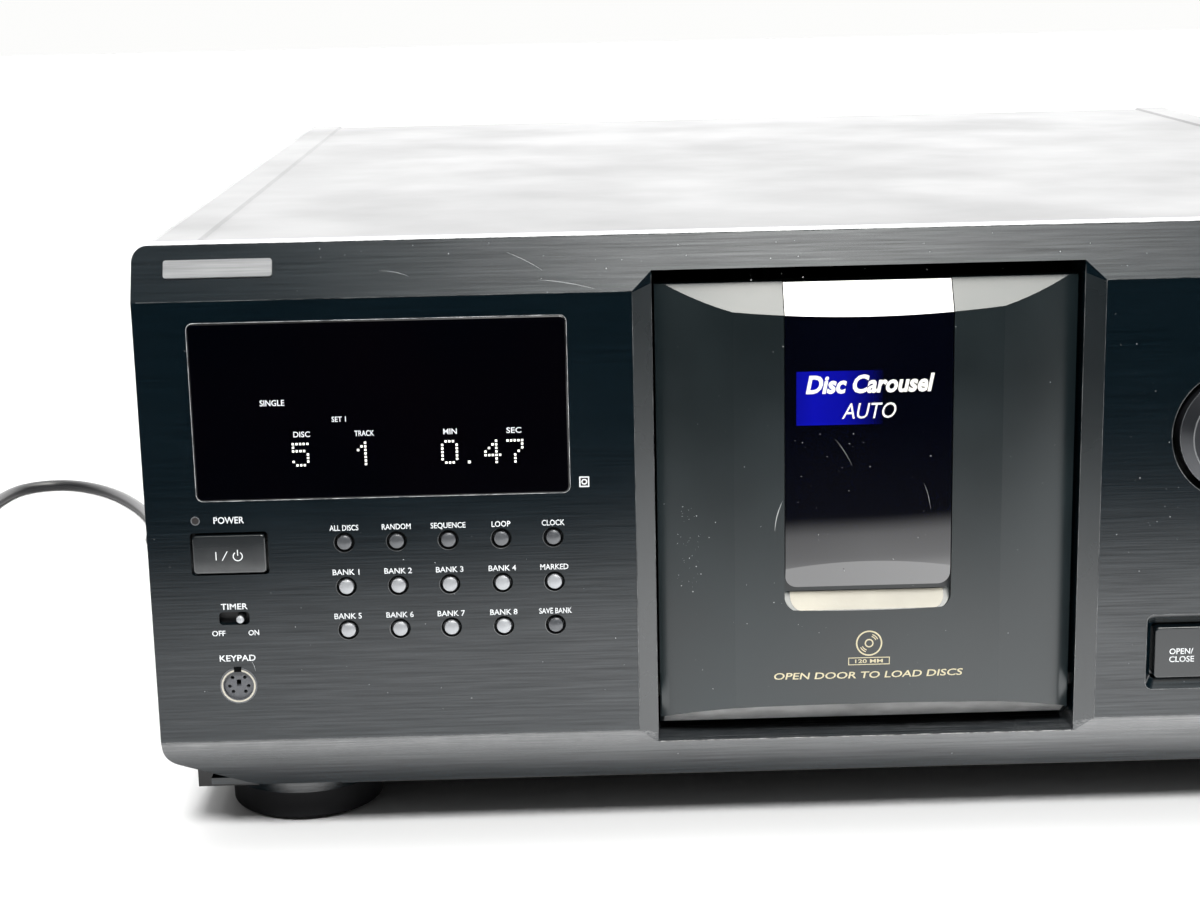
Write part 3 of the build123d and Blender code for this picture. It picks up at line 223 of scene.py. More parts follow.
def finish(name, colour, rough, metallic=0.0, specular=0.5, coat=0.0, coat_rough=0.05, brushed=0.0,
           cloud=0.25, lighter=None, grain=0.05, grain_scale=1800.0, dust=0.0, heights=()):
    """Adds a Principled material and gives its tree: base colour with a cloudy tone, optional brushing and
    dust, a fine bump. heights gives ((z in metres, grey), ...), a grey of painted light added to the tone by
    the height."""
    material = bpy.data.materials.new(name)
    material.use_nodes = True
    material.diffuse_color = (*colour, 1)
    tree = material.node_tree
    position = add(tree, "ShaderNodeTexCoord").outputs["Object"]
    surface = placed(tree, GRAIN, position, Grain_scale=grain_scale)
    strong = tuple(min(1.0, c * (1 + cloud) + 0.004 * cloud) for c in colour) if lighter is None else lighter
    tone = mix(tree, colour, strong, surface["Cloud"])
    height, depth = surface["Height"], grain
    if heights:
        rise = spread(tree, axes(tree, "Object")["Z"], 0.0, HEIGHT_SPAN)
        broad = placed(tree, GRAIN, position, Cloud_scale=110.0)["Cloud"]
        added = ramp(tree, rise, [(z / HEIGHT_SPAN, tint) for z, tint in heights])
        tone = mix(tree, tone, added, spread(tree, broad, 0.0, 1.0, 0.62), "ADD")
    if brushed:
        lines = placed(tree, BRUSHING, position)
        light_line = tuple(min(1.0, c * (1 + 1.6 * brushed)) for c in colour)
        tone = mix(tree, tone, light_line, lines["Lines"])
        height, depth = lines["Height"], 0.25 * brushed
        coat, coat_rough = spread(tree, lines["Lines"], 0.0, 1.0, 0.0, brushed), rough * 1.1
    if dust:
        settled = tuple(c + (d - c) * dust for c, d in zip(colour, DUST_COLOUR))
        tone = mix(tree, tone, settled, placed(tree, DUST, position)["Specks"])
    uneven = spread(tree, surface["Cloud"], 0.0, 1.0, rough * 0.92, min(1.0, rough * 1.12))
    bump = add(tree, "ShaderNodeBump", {"Strength": depth, "Distance": BUMP_DEPTH, "Height": height})
    set_shader(tree, {"Base Color": tone, "Roughness": uneven, "Normal": bump.outputs["Normal"],
                      "Metallic": metallic, "Specular IOR Level": specular, "Coat Weight": coat,
                      "Coat Roughness": coat_rough})
    MATERIALS[name] = material
    return tree


def light_print(name, colour, strength=0.0):
    """Adds printed ink, or a lit segment when strength is over zero, with a faint unevenness of its tone."""
    tree = finish(name, colour, 0.5, cloud=0.12, grain=0.02)
    if strength:
        set_shader(tree, {"Emission Color": (*colour, 1), "Emission Strength": strength})


def painted_edge_highlight(name, dark, bright, along):
    """Adds a painted highlight for an edge: bright mottled patches on dark paint along the edge."""
    tree = finish(name, dark, 0.34, specular=0.8)
    mottle = stretched_noise(tree, add(tree, "ShaderNodeTexCoord").outputs["Object"], along, 5.0, 0.7)
    tone = mix(tree, dark, bright, ramp(tree, mottle, [(0.4, 0.0), (0.66, 1.0)]))
    set_shader(tree, {"Base Color": tone})


def fading_print(name, strong, faint, x0, x1):
    """Adds ink behind gloss that fades from one side to the other, along X between x0 and x1 in metres."""
    tree = finish(name, faint, 0.04, coat=0.6, grain=0.0)
    across = spread(tree, axes(tree, "Object")["X"], x0, x1)
    fade = ramp(tree, across, [(0.0, 0.75), (0.2, 1.0), (0.55, 0.8), (0.85, 0.25), (1.0, 0.0)])
    set_shader(tree, {"Base Color": mix(tree, faint, strong, fade)})


# painted reflection: the panel pales towards the lower edge of its face; painted highlight: the power key
# pales towards its own lower edge; painted sheen: the chin faces the floor in a dark recess, so it is written
# pale
finish("panel_black", (0.0012, 0.004, 0.006), 0.165, specular=0.42, brushed=0.6, cloud=0.2, dust=0.5,
       heights=((0.0, 0.0), (0.026, 0.0), (0.031, 0.05), (0.0345, 0.2), (0.0364, 0.26), (0.0369, 0.0)))
finish("cover_black", (0.008, 0.008, 0.009), 0.36, specular=0.7, cloud=0.1, grain=0.15, grain_scale=900.0,
       dust=0.3)
# the timer knob's plate shares this black as painted shade: it darkens the slot it shows through
finish("pan_black_and_slot_shade", (0.008, 0.008, 0.009), 0.42, cloud=0.3, grain=0.2)
finish("foot_black", (0.013, 0.013, 0.014), 0.38, specular=0.07, cloud=0.3, grain=0.1)
# the door pins share this matte black as painted shade, where they sit in the gap beside the door
finish("pad_rubber_and_pin_shade", (0.012, 0.012, 0.012), 0.85, cloud=0.4, grain=0.4)
finish("screw_black", (0.05, 0.05, 0.052), 0.3, metallic=0.8, cloud=0.4, grain=0.1)
finish("door_satin", (0.0056, 0.0098, 0.0112), 0.3, specular=0.58, cloud=0.6, dust=0.6)
# painted sheen: a lighter, glossier copy of the panel's black for the recess's side slopes
finish("mitre_painted_sheen", (0.006, 0.009, 0.0105), 0.27, specular=0.78, cloud=0.6, grain=0.1, dust=0.6)
# painted highlight: the ledge under the door's window, pale where light falls on it
finish("ledge_painted_highlight", (0.25, 0.235, 0.195), 0.34, specular=0.42, cloud=0.9, grain=0.4, grain_scale=700.0)
# painted sheen: the door's chin painted pale, palest low down, though it faces the floor in a dark recess
finish("chin_painted_sheen", (0.0, 0.0, 0.0), 0.35, cloud=0.2,
       heights=((0.0325, 0.1), (0.034, 0.7), (0.0355, 0.82), (0.038, 0.5), (0.0434, 0.42)))
finish("window_gloss", (0.0003, 0.0006, 0.003), 0.03, specular=0.85, coat=1.0, coat_rough=0.02, cloud=0.1,
       grain=0.0)
finish("display_smoke", (0.0003, 0.0005, 0.0014), 0.05, specular=0.35, cloud=0.3, grain=0.0,
       lighter=(0.001, 0.0006, 0.0014))
finish("tube_glass", (0.2, 0.24, 0.24), 0.1, cloud=0.2)
finish("board_brown", (0.22, 0.13, 0.05), 0.6, cloud=0.4, grain=0.2)
# painted shade: a near-black copy of the board colour, for the front boards seen through dark gaps
finish("board_painted_shade", (0.006, 0.008, 0.006), 0.5, cloud=0.4, grain=0.2)
finish("plate_bright", (0.2, 0.203, 0.206), 0.3, metallic=0.1, brushed=0.35)
finish("lens_red", (0.04, 0.036, 0.036), 0.15, cloud=0.3, coat=0.8)
finish("lens_dark", (0.012, 0.008, 0.008), 0.12, cloud=0.3, coat=0.5)
finish("socket_black", (0.075, 0.078, 0.085), 0.35, cloud=0.3, grain=0.1)
finish("ring_bright", (0.4, 0.38, 0.32), 0.28, metallic=0.6, cloud=0.3)
finish("jack_plated", (0.7, 0.62, 0.42), 0.25, metallic=1.0, cloud=0.2)
finish("collar_white", (0.6, 0.6, 0.58), 0.35, cloud=0.1)
finish("collar_red", (0.42, 0.02, 0.02), 0.35, cloud=0.15)
finish("core_steel", (0.12, 0.12, 0.13), 0.5, metallic=0.6, cloud=0.3, brushed=0.3)
finish("frame_black", (0.02, 0.02, 0.022), 0.5, cloud=0.3, grain=0.2)
finish("steel_bright", (0.55, 0.55, 0.57), 0.25, metallic=1.0, cloud=0.15, brushed=0.1)
finish("gear_white", (0.78, 0.77, 0.7), 0.45, cloud=0.1)
finish("key_silver", (0.36, 0.37, 0.385), 0.42, metallic=0.3, cloud=0.3, coat=0.15)
finish("key_dark", (0.085, 0.089, 0.096), 0.36, metallic=0.3, cloud=0.3, coat=0.25)
# painted highlight: the power key pales towards its lower edge, by height
finish("key_black", (0.0026, 0.005, 0.0066), 0.24, specular=0.6, cloud=0.3,
       heights=((0.088, 0.0), (0.0905, 0.09), (0.0915, 0.09), (0.094, 0.045), (0.099, 0.008), (0.103, 0.0)))
finish("dial_dark", (0.03, 0.032, 0.036), 0.3, metallic=0.4, cloud=0.2, grain=0.1)
finish("dial_rim", (0.3, 0.31, 0.32), 0.26, metallic=0.7, cloud=0.2)
finish("cord_vinyl", (0.012, 0.012, 0.013), 0.38, cloud=0.35, grain=0.12)
# painted shade: black rings in the round keys' holes and a black bar for the socket's notch
finish("painted_shade_black", (0.0012, 0.0014, 0.0016), 0.8, specular=0.05, cloud=0.3)
finish("wear_grey", (0.34, 0.35, 0.35), 0.6, cloud=0.4)
light_print("ink_white", (0.74, 0.76, 0.77))
light_print("ink_gold", (0.6, 0.54, 0.36))
light_print("ink_cream", (0.86, 0.84, 0.78))
light_print("segment_lit", (0.9, 0.92, 0.84), 0.75)
light_print("segment_dim", (0.62, 0.64, 0.66), 0.3)
# painted highlights along edges, mottled: bright patches on dark strips
painted_edge_highlight("edge_highlight_strong", (0.02, 0.022, 0.024), (0.5, 0.5, 0.49), (260.0, 60.0, 60.0))
painted_edge_highlight("edge_highlight_faint", (0.012, 0.014, 0.016), (0.15, 0.155, 0.155), (120.0, 60.0, 120.0))
painted_edge_highlight("rim_highlight", (0.16, 0.165, 0.17), (0.7, 0.7, 0.7), (180.0, 60.0, 180.0))
fading_print("patch_blue", (0.003, 0.004, 0.32), (0.0006, 0.001, 0.006), -0.0215, 0.0042)

FINISH_NODES = {
    "panel_black": ("front_panel",),
    "cover_black": ("top_cover", "rear_panel"),
    # timer_knob: painted shade, its plate black so the slot reads dark
    "pan_black_and_slot_shade": ("chassis_pan", "timer_knob"),
    "foot_black": ("feet",),
    # door_pins: painted shade, matte black in the gap beside the door
    "pad_rubber_and_pin_shade": ("foot_pads", "door_pins"),
    "screw_black": ("case_screws",),
    "display_smoke": ("display_window",),
    "tube_glass": ("display_tube",),
    # front_boards: painted shade
    "board_painted_shade": ("front_boards",),
    "board_brown": ("main_board",),
    "plate_bright": ("name_plate",),
    "lens_red": ("standby_led",),
    "lens_dark": ("sensor_window",),
    "socket_black": ("keyboard_socket",),
    "jack_plated": ("rear_jacks",),
    "core_steel": ("transformer",),
    "frame_black": ("player_frame", "disc_clamp", "optical_pickup", "carousel"),
    "steel_bright": ("steel_rods", "drive_motors", "spindle_motor", "clamp_arm"),
    "gear_white": ("disc_hub", "loading_lever", "loading_gear", "door_pinion", "table_gear"),
    "door_satin": ("door_shell",),
    "window_gloss": ("door_window",),
    "cord_vinyl": ("strain_relief", "power_cord", "cord_coil", "power_plug"),
    "dial_dark": ("disc_dial", "track_dial"),
    "key_black": ("power_button", "open_close_button", "play_button", "pause_button", "stop_button"),
    "key_dark": ("key_1_1", "key_1_2", "key_1_3", "key_1_4", "key_1_5", "key_3_5"),
}
NODE_FINISH = {node: label for label, nodes in FINISH_NODES.items() for node in nodes}


def finish_of(name):
    """The finish of a node; the small keys that aren't named above are silver."""
    return NODE_FINISH.get(name, "key_silver")


for node_name, node in NODES.items():
    node.data.materials.clear()
    node.data.materials.append(MATERIALS[finish_of(node_name)])


def new_piece(name, points, faces, finish_name, body, smooth=False):
    """A mesh piece from arrays of points in millimetres and faces, riding on a body."""
    mesh = bpy.data.meshes.new(name)
    mesh.from_pydata((np.asarray(points, float) * MM).tolist(), [], [list(face) for face in faces])
    mesh.materials.append(MATERIALS[finish_name])
    mesh.polygons.foreach_set("use_smooth", np.full(len(mesh.polygons), smooth))
    mesh.update()
    piece = bpy.data.objects.new(name, mesh)
    scene.collection.objects.link(piece)
    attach(piece, body)
    return piece


class Gather:
    """Collects points and faces of several small shapes for one piece."""

    def __init__(self):
        self.points, self.faces, self.count = [], [], 0

    def add(self, points, faces):
        """Adds a shape; its faces count from its own first point."""
        self.points.append(np.asarray(points, float))
        self.faces += [tuple(index + self.count for index in face) for face in faces]
        self.count += len(points)

    def piece(self, name, finish_name, body, smooth=False):
        """Makes one piece of all that was added."""
        return new_piece(name, np.concatenate(self.points), self.faces, finish_name, body, smooth)


# surfaces that carry print, as depth behind the main face in millimetres
def main_face(x, z):
    """The flat face, depth 0."""
    return np.zeros_like(x)


def top_band(x, z):
    """The band above z 171.8 leans back by 7.4 over 15.7."""
    return (z - BAND_Z) * 7.4 / 15.7


def door_face(x, z):
    """Middle arc y = 1.25 (x / 40)^2, and beyond 40 side arcs y = 1.25 + 6.05 t - 2 t (1 - t), with
    t = (|x| - 40) / 22.7."""
    middle_half, middle_drop, side_run = 40, 1.25, 22.7
    t = np.clip((np.abs(x) - middle_half) / side_run, 0, 1)
    middle = middle_drop * (x / middle_half) ** 2
    return np.where(np.abs(x) < middle_half, middle, middle_drop + 6.05 * t - 2 * t * (1 - t))


def laid(flat, surface, lift):
    """Flat (x, z) points carried onto a surface, proud of it by lift."""
    flat = np.asarray(flat, float)
    return np.column_stack([flat[:, 0], FACE_Y + surface(flat[:, 0], flat[:, 1]) - lift, flat[:, 1]])


def text_outline(text, bold):
    """Filled flat mesh of a line of text at size 1: points (n, 2) and faces."""
    curve = bpy.data.curves.new("text", "FONT")
    curve.body, curve.align_x, curve.offset = text, "CENTER", bold
    curve.fill_mode, curve.resolution_u = "FRONT", 3
    holder = bpy.data.objects.new("text", curve)
    scene.collection.objects.link(holder)
    bpy.context.view_layer.update()
    mesh = bpy.data.meshes.new_from_object(holder.evaluated_get(bpy.context.evaluated_depsgraph_get()))
    flat = np.empty(len(mesh.vertices) * 3)
    mesh.vertices.foreach_get("co", flat)
    faces = [tuple(polygon.vertices) for polygon in mesh.polygons]
    bpy.data.objects.remove(holder)
    bpy.data.curves.remove(curve)
    bpy.data.meshes.remove(mesh)
    return flat.reshape(-1, 3)[:, :2], faces


CAPITAL = float(np.ptp(text_outline("H", 0.0)[0][:, 1]))


def write(gather, text, x, z, height, width=None, surface=main_face, lift=0.03, bold=0.012, slant=0.0):
    """A line of text centred on x, z, with capitals of a given height and optionally a given width."""
    points, faces = text_outline(text, bold)
    points = points * height / CAPITAL
    low, high = points[:, 0].min(), points[:, 0].max()
    points[:, 0] -= (low + high) / 2
    if width:
        points[:, 0] *= width / (high - low)
    points[:, 1] -= height / 2
    points[:, 0] += slant * points[:, 1]
    gather.add(laid(points + (x, z), surface, lift), faces)


def write_lines(gather, lines, **style):
    """Several lines of text, each given as (text, x, z, height, width)."""
    for text, x, z, height, width in lines:
        write(gather, text, x, z, height, width, **style)


def plate(gather, outline, surface=main_face, lift=0.03):
    """A flat polygon of (x, z) points, counter-clockwise as seen from the front."""
    gather.add(laid(outline, surface, lift), [tuple(range(len(outline)))])


def block(gather, x0, x1, z0, z1, surface=main_face, lift=0.03):
    """A flat rectangle."""
    plate(gather, [(x0, z0), (x1, z0), (x1, z1), (x0, z1)], surface, lift)


def box_frame(gather, x0, x1, z0, z1, thick, **laying):
    """A rectangle's outline: a bar at the top, one at the bottom, and one at each side between them."""
    for sides in ((x0, x1, z1 - thick, z1), (x0, x1, z0, z0 + thick),
                  (x0, x0 + thick, z0 + thick, z1 - thick), (x1 - thick, x1, z0 + thick, z1 - thick)):
        block(gather, *sides, **laying)


def grid_faces(rows, count, flipped=False):
    """Faces of a grid written row by row, n = count points each:
    (a n + k, a n + k + 1, (a + 1) n + k + 1, (a + 1) n + k), or the other way round."""
    a, k = np.divmod(np.arange((rows - 1) * (count - 1)), count - 1)
    corner = a * count + k
    faces = np.column_stack([corner, corner + 1, corner + count + 1, corner + count])
    return (faces[:, [0, 3, 2, 1]] if flipped else faces).tolist()


def loop_faces(loops, count, bands):
    """Faces between closed loops of n = count points: (a n + k, b n + k, b n + m, a n + m), where b is the
    loop after a, back to the first after the last, and m is the point after k."""
    a, k = np.divmod(np.arange(bands * count), count)
    b, m = (a + 1) % loops, (k + 1) % count
    return np.column_stack([a * count + k, b * count + k, b * count + m, a * count + m])


def circle(steps):
    """(cos a, sin a) for a given number of even steps round."""
    angle = np.linspace(0, 2 * np.pi, steps, endpoint=False)
    return np.column_stack([np.cos(angle), np.sin(angle)])


def ring(gather, x, z, outer, inner, start=0.0, end=360.0, surface=main_face, lift=0.03, steps=32):
    """A flat ring, or part of one between two angles in degrees."""
    angle = np.radians(np.linspace(start, end, steps + 1))
    unit = np.column_stack([np.cos(angle), np.sin(angle)])
    flat = np.concatenate([unit * outer, unit * inner]) + (x, z)
    gather.add(laid(flat, surface, lift), grid_faces(2, steps + 1))


def rounded_loop(x, z, w, h, r, steps=6):
    """Points round a rectangle with round corners, counter-clockwise as seen from the front: each corner is
    its centre + r (cos a, sin a) over a quarter turn."""
    quarter = 90 * np.arange(steps + 1) / steps
    angle = np.radians(np.repeat([0, 90, 180, 270], steps + 1) + np.tile(quarter, 4))
    side_x, side_z = np.repeat([1, -1, -1, 1], steps + 1), np.repeat([1, 1, -1, -1], steps + 1)
    return np.column_stack([x + side_x * (w / 2 - r) + r * np.cos(angle),
                            z + side_z * (h / 2 - r) + r * np.sin(angle)])


def closed_frame(gather, outer, inner, y0, y1):
    """A closed frame between two loops of (x, z) points, from y0 to y1 behind the main face."""
    points = [np.column_stack([loop[:, 0], np.full(len(loop), FACE_Y + y), loop[:, 1]])
              for loop, y in ((outer, y0), (outer, y1), (inner, y1), (inner, y0))]
    gather.add(np.concatenate(points), loop_faces(4, len(outer), 4).tolist())


def rim(gather, x, z, w, h, r, thick, y0, y1):
    """A closed frame of rectangular section round a rounded rectangle."""
    inner = rounded_loop(x, z, w - 2 * thick, h - 2 * thick, max(r - thick, 0.05))
    closed_frame(gather, rounded_loop(x, z, w, h, r), inner, y0, y1)


def washer(gather, x, z, outer, inner, y0, y1, steps=40):
    """A closed flat ring."""
    closed_frame(gather, circle(steps) * outer + (x, z), circle(steps) * inner + (x, z), y0, y1)


def bar(gather, x0, x1, y0, y1, z0, z1):
    """A closed box; y is behind the main face."""
    points = [(x, FACE_Y + y, z) for x in (x0, x1) for y in (y0, y1) for z in (z0, z1)]
    gather.add(points, [(0, 1, 3, 2), (4, 6, 7, 5), (0, 4, 5, 1), (2, 3, 7, 6), (0, 2, 6, 4), (1, 5, 7, 3)])


def turned(gather, x, z, profile, steps):
    """A shape turned about an axis along Y: (x + r cos a, depth, z + r sin a) for each (r, depth) of the
    profile, from the front to the rear, closed to the axis at both ends."""
    profile, unit = np.asarray(profile, float), circle(steps)
    rows, radius, y = len(profile), profile[:, :1], FACE_Y + profile[:, 1]
    round_x, round_z = x + radius * unit[:, 0], z + radius * unit[:, 1]
    sides = np.column_stack([round_x.ravel(), np.repeat(y, steps), round_z.ravel()])
    points = np.concatenate([[(x, y[0], z)], sides, [(x, y[-1], z)]])
    k = np.arange(steps)
    m, rear = (k + 1) % steps, 1 + (rows - 1) * steps
    front_fan = np.column_stack([np.zeros_like(k), 1 + k, 1 + m])
    rear_fan = np.column_stack([rear + k, np.full_like(k, len(points) - 1), rear + m])
    around = 1 + loop_faces(rows, steps, rows - 1)
    gather.add(points, front_fan.tolist() + around.tolist() + rear_fan.tolist())


# ---- lettering and signs on the main face ----
KEY_WORDS = ((("ALL DISCS", 8.6), ("RANDOM", 8.6), ("SEQUENCE", 10.4), ("LOOP", 5.6), ("CLOCK", 6.8)),
             (("BANK 1", 8.0), ("BANK 2", 8.2), ("BANK 3", 8.2), ("BANK 4", 8.2), ("MARKED", 8.4)),
             (("BANK 5", 8.2), ("BANK 6", 8.2), ("BANK 7", 8.2), ("BANK 8", 8.2), ("SAVE BANK", 9.8)))


def panel_lettering():
    """White words over the keys and controls, and the small disc sign beside the display."""
    ink = Gather()
    for words, z, rise in zip(KEY_WORDS, KEY_ROWS, (4.4, 4.5, 4.3)):
        for (word, width), x in zip(words, KEY_COLUMNS):
            write(ink, word, x, z + rise, 1.65, width)
    write_lines(ink, (("POWER", -190.4, 106.1, 1.95, 9.0), ("TIMER", -190.3, 79.4, 1.75, 8.0),
                      ("OFF", -195.4, 71.1, 1.6, 4.0), ("ON", -184.9, 71.1, 1.6, 3.2),
                      ("KEYPAD", -190.2, 63.2, 1.85, 10.8), ("DISC", 110.5, 149.4, 1.75, 5.0),
                      ("TRACK", 172.0, 149.4, 1.75, 6.6), ("PLAY", 131.5, 69.3, 1.75, 5.0),
                      ("PAUSE", 161.5, 69.3, 1.75, 6.4), ("STOP", 187.5, 69.3, 1.75, 5.2)))
    box_frame(ink, -86.1, -83.1, 113.5, 116.75, 0.4, lift=0.13)
    ring(ink, -84.6, 115.12, 0.9, 0.51, lift=0.13, steps=16)
    ink.piece("panel_lettering", "ink_white", "case")


def key_signs():
    """Signs on the power key and the transport keys, each riding on its own key."""
    proud = 0.93
    power, door, play, pause, stop = (Gather() for _ in range(5))
    block(power, -194.8, -194.5, 94.1, 96.7, lift=proud)
    plate(power, [(-193.0, 94.0), (-192.7, 94.0), (-191.1, 96.8), (-191.4, 96.8)], lift=proud)
    ring(power, -188.2, 95.2, 1.5, 1.2, 125, 415, lift=proud)
    block(power, -188.35, -188.05, 95.4, 97.2, lift=proud)
    write_lines(door, (("OPEN/", 95.2, 57.7, 1.75, 7.2), ("CLOSE", 95.4, 55.2, 1.75, 7.6)), lift=proud)
    plate(play, [(129.6, 55.3), (133.4, 57.3), (129.6, 59.3)], lift=proud)
    for x in (160.1, 161.9):
        block(pause, x, x + 1.0, 55.6, 59.0, lift=proud)
    block(stop, 185.9, 189.1, 55.7, 58.9, lift=proud)
    for sign, name, key in ((power, "power_sign", "power_button"),
                            (door, "open_close_words", "open_close_button"),
                            (play, "play_sign", "play_button"), (pause, "pause_sign", "pause_button"),
                            (stop, "stop_sign", "stop_button")):
        sign.piece(name, "ink_white", key)


DOT_ROWS = {
    "5": ("11111", "10000", "11110", "00001", "00001", "10001", "01110"),
    "1": ("00100", "01100", "10100", "00100", "00100", "00100", "00100"),
    "0": ("01110", "10001", "10001", "10001", "10001", "10001", "01110"),
    "4": ("00010", "00110", "01010", "10010", "11111", "00010", "00010"),
    "7": ("11111", "00001", "00001", "00010", "00100", "00100", "00100"),
}


def display_print():
    """Dot-matrix digits of the display, and its small dim words."""
    dots, words = Gather(), Gather()
    pitch, half, lift = 1.07, 0.33, 0.43
    for digit, x, z in (("5", -168.0, 125.6), ("1", -148.9, 125.5), ("0", -124.1, 125.3),
                        ("4", -111.4, 125.1), ("7", -104.8, 125.1)):
        for row, line in enumerate(DOT_ROWS[digit]):
            for column, lit in enumerate(line):
                if lit == "1":
                    cx, cz = x + (column - 2) * pitch, z + (3 - row) * pitch
                    block(dots, cx - half, cx + half, cz - half, cz + half, lift=lift)
    block(dots, -118.8, -118.0, 121.7, 122.5, lift=lift)
    dots.piece("display_digits", "segment_lit", "case")
    write_lines(words, (("DISC", -167.4, 131.7, 1.6, 4.9), ("TRACK", -149.0, 131.6, 1.6, 5.8),
                        ("MIN", -123.8, 131.5, 1.6, 4.0), ("SEC", -105.0, 131.4, 1.6, 4.4),
                        ("SINGLE", -175.6, 141.3, 1.7, 7.2), ("SET 1", -156.3, 136.0, 1.5, 4.2)), lift=lift)
    words.piece("display_words", "segment_dim", "case")


def bright_rims():
    """Thin light edges round the display, the transport keys, the power key, the socket and the dials:
    painted highlights, except the socket's metal ring and its dark skirt.
    """
    frame_edge, surrounds, key_edge, shell, skirt = (Gather() for _ in range(5))
    rim(frame_edge, *DISPLAY, 2.15, 0.17, -0.1, 0.4)
    frame_edge.piece("display_rim", "rim_highlight", "case")
    for x, w in TRANSPORT_KEYS:
        rim(surrounds, x, TRANSPORT_Z, w + 5.1, 23.9, 2.3, 0.16, -0.04, 0.3)
    surrounds.piece("key_surround_edges", "edge_highlight_faint", "case")
    rim(key_edge, *POWER_KEY, 1.0, 0.22, -0.56, -0.1)
    key_edge.piece("power_key_edge", "edge_highlight_strong", "power_button")
    washer(shell, *SOCKET, 5.16, 4.66, -0.28, 0.9)
    shell.piece("socket_ring", "ring_bright", "case")
    washer(skirt, *SOCKET, 5.65, 5.16, -0.06, 0.9)
    skirt.piece("socket_skirt", "key_dark", "case")
    for name, x, z, r in DIALS:
        seat = Gather()
        washer(seat, x, z, r + 2.38, r + 2.15, -0.04, 0.4, 64)
        seat.piece(name + "_seat", "edge_highlight_faint", "case")


def key_wells():
    """Painted shade: a black ring in each round key's hole. A faint painted highlight round the lower left of
    it, the ring round the standby lamp, and the socket's notch painted as a black bar of shade."""
    wells, edges, lamp_ring, notch = (Gather() for _ in range(4))
    for x in KEY_COLUMNS:
        for z in KEY_ROWS:
            washer(wells, x, z, 3.05, 2.62, -0.03, 0.6, 36)
            washer(edges, x - 0.14, z - 0.14, 3.12, 2.95, -0.02, 0.3, 36)
    wells.piece("key_wells", "painted_shade_black", "case")
    edges.piece("key_well_highlights", "edge_highlight_faint", "case")
    washer(lamp_ring, *LAMP, 1.35, 1.05, -0.05, 0.3, 28)
    lamp_ring.piece("standby_led_ring", "dial_rim", "case")
    bar(notch, -191.5, -189.3, -0.34, 0.2, 58.9, 60.4)
    notch.piece("socket_notch", "painted_shade_black", "case")


def hinge_skin():
    """The door's skin over its hinge ends: the side arc, swelling by 0.72 S (1 - u^2)^2 with
    S = (|x| - 60) / 2.3, at most 1.2, and u = (z - 45.8) / 6.6, and folded back at the outer edge."""
    reach, z = np.append(np.linspace(59.6, 62.6, 9), 62.66), np.linspace(39.2, 52.4, 19)
    skin = Gather()
    for x in (-reach[::-1], reach):
        across, up = np.meshgrid(x, z)
        swell = 0.72 * np.clip((np.abs(across) - 60) / 2.3, 0, 1.2) * (1 - ((up - 45.8) / 6.6) ** 2) ** 2
        fold = np.where(np.abs(across) > 62.63, swell + 0.2, 0)
        back = door_face(across, up) - 0.02 - swell + fold
        points = np.column_stack([across.ravel(), FACE_Y + back.ravel(), up.ravel()])
        skin.add(points, grid_faces(len(z), len(x)))
    skin.piece("door_hinge_skin", "door_satin", "door", smooth=True)


def key_caps():
    """A slight dome on each round key, depth = -1.27 + 0.4 (r / 1.92)^2, and the timer knob's rounded cap."""
    radii = np.array([0.4, 0.8, 1.2, 1.5, 1.75, 1.92])
    profile = [(r, -1.27 + 0.4 * (r / 1.92) ** 2) for r in radii] + [(1.92, -0.6)]
    for row, z in enumerate(KEY_ROWS, 1):
        for column, x in enumerate(KEY_COLUMNS, 1):
            name = f"key_{row}_{column}"
            cap = Gather()
            turned(cap, x, z, profile, 28)
            cap.piece(name + "_cap", finish_of(name), name, smooth=True)
    knob = Gather()
    turned(knob, -188.55, 75.7, [(0.35, -2.05), (0.7, -1.98), (1.0, -1.8), (1.18, -1.5), (1.2, -1.0)], 28)
    knob.piece("timer_knob_cap", "key_silver", "timer_knob", smooth=True)


def dial_rings():
    """Two turned rings on each dial: one on its face and one round its edge, near the panel."""
    for name, x, z, r in DIALS:
        trim = Gather()
        washer(trim, x, z, r - 2.9, r - 3.35, -4.06, -3.2, 72)
        washer(trim, x, z, r + 0.05, r - 0.25, -0.75, -0.35, 72)
        trim.piece(name + "_rings", "dial_rim", name)


def edge_highlights():
    """Painted highlights on edges: the panel's top and the sill under the door. Fainter ones: both sides of
    the recess, the fold under the top band, the panel's lower edge, and the recess's inner corners."""
    edges, faint = Gather(), Gather()
    bar(edges, -209.5, 209.5, 7.22, 7.5, 187.36, 187.54)
    bar(edges, -63.0, 63.0, 2.26, 2.5, 32.08, 32.24)
    edges.piece("edge_highlights", "edge_highlight_strong", "case")
    for side in (-1, 1):
        bar(faint, *sorted((side * (RECESS_HALF - 0.16), side * RECESS_HALF)), -0.04, 0.12, 36.0, BAND_Z)
    for middle_z in (BAND_Z, 36.8):
        for x0, x1 in ((-PANEL_HALF, -RECESS_HALF), (RECESS_HALF, PANEL_HALF)):
            bar(faint, x0, x1, -0.035, 0.1, middle_z - 0.1, middle_z + 0.1)
    for side in (-1, 1):
        bar(faint, *sorted((side * 63.64, side * 63.8)), 2.5, 2.7, 34.0, 176.0)
    faint.piece("faint_edge_highlights", "edge_highlight_faint", "case")


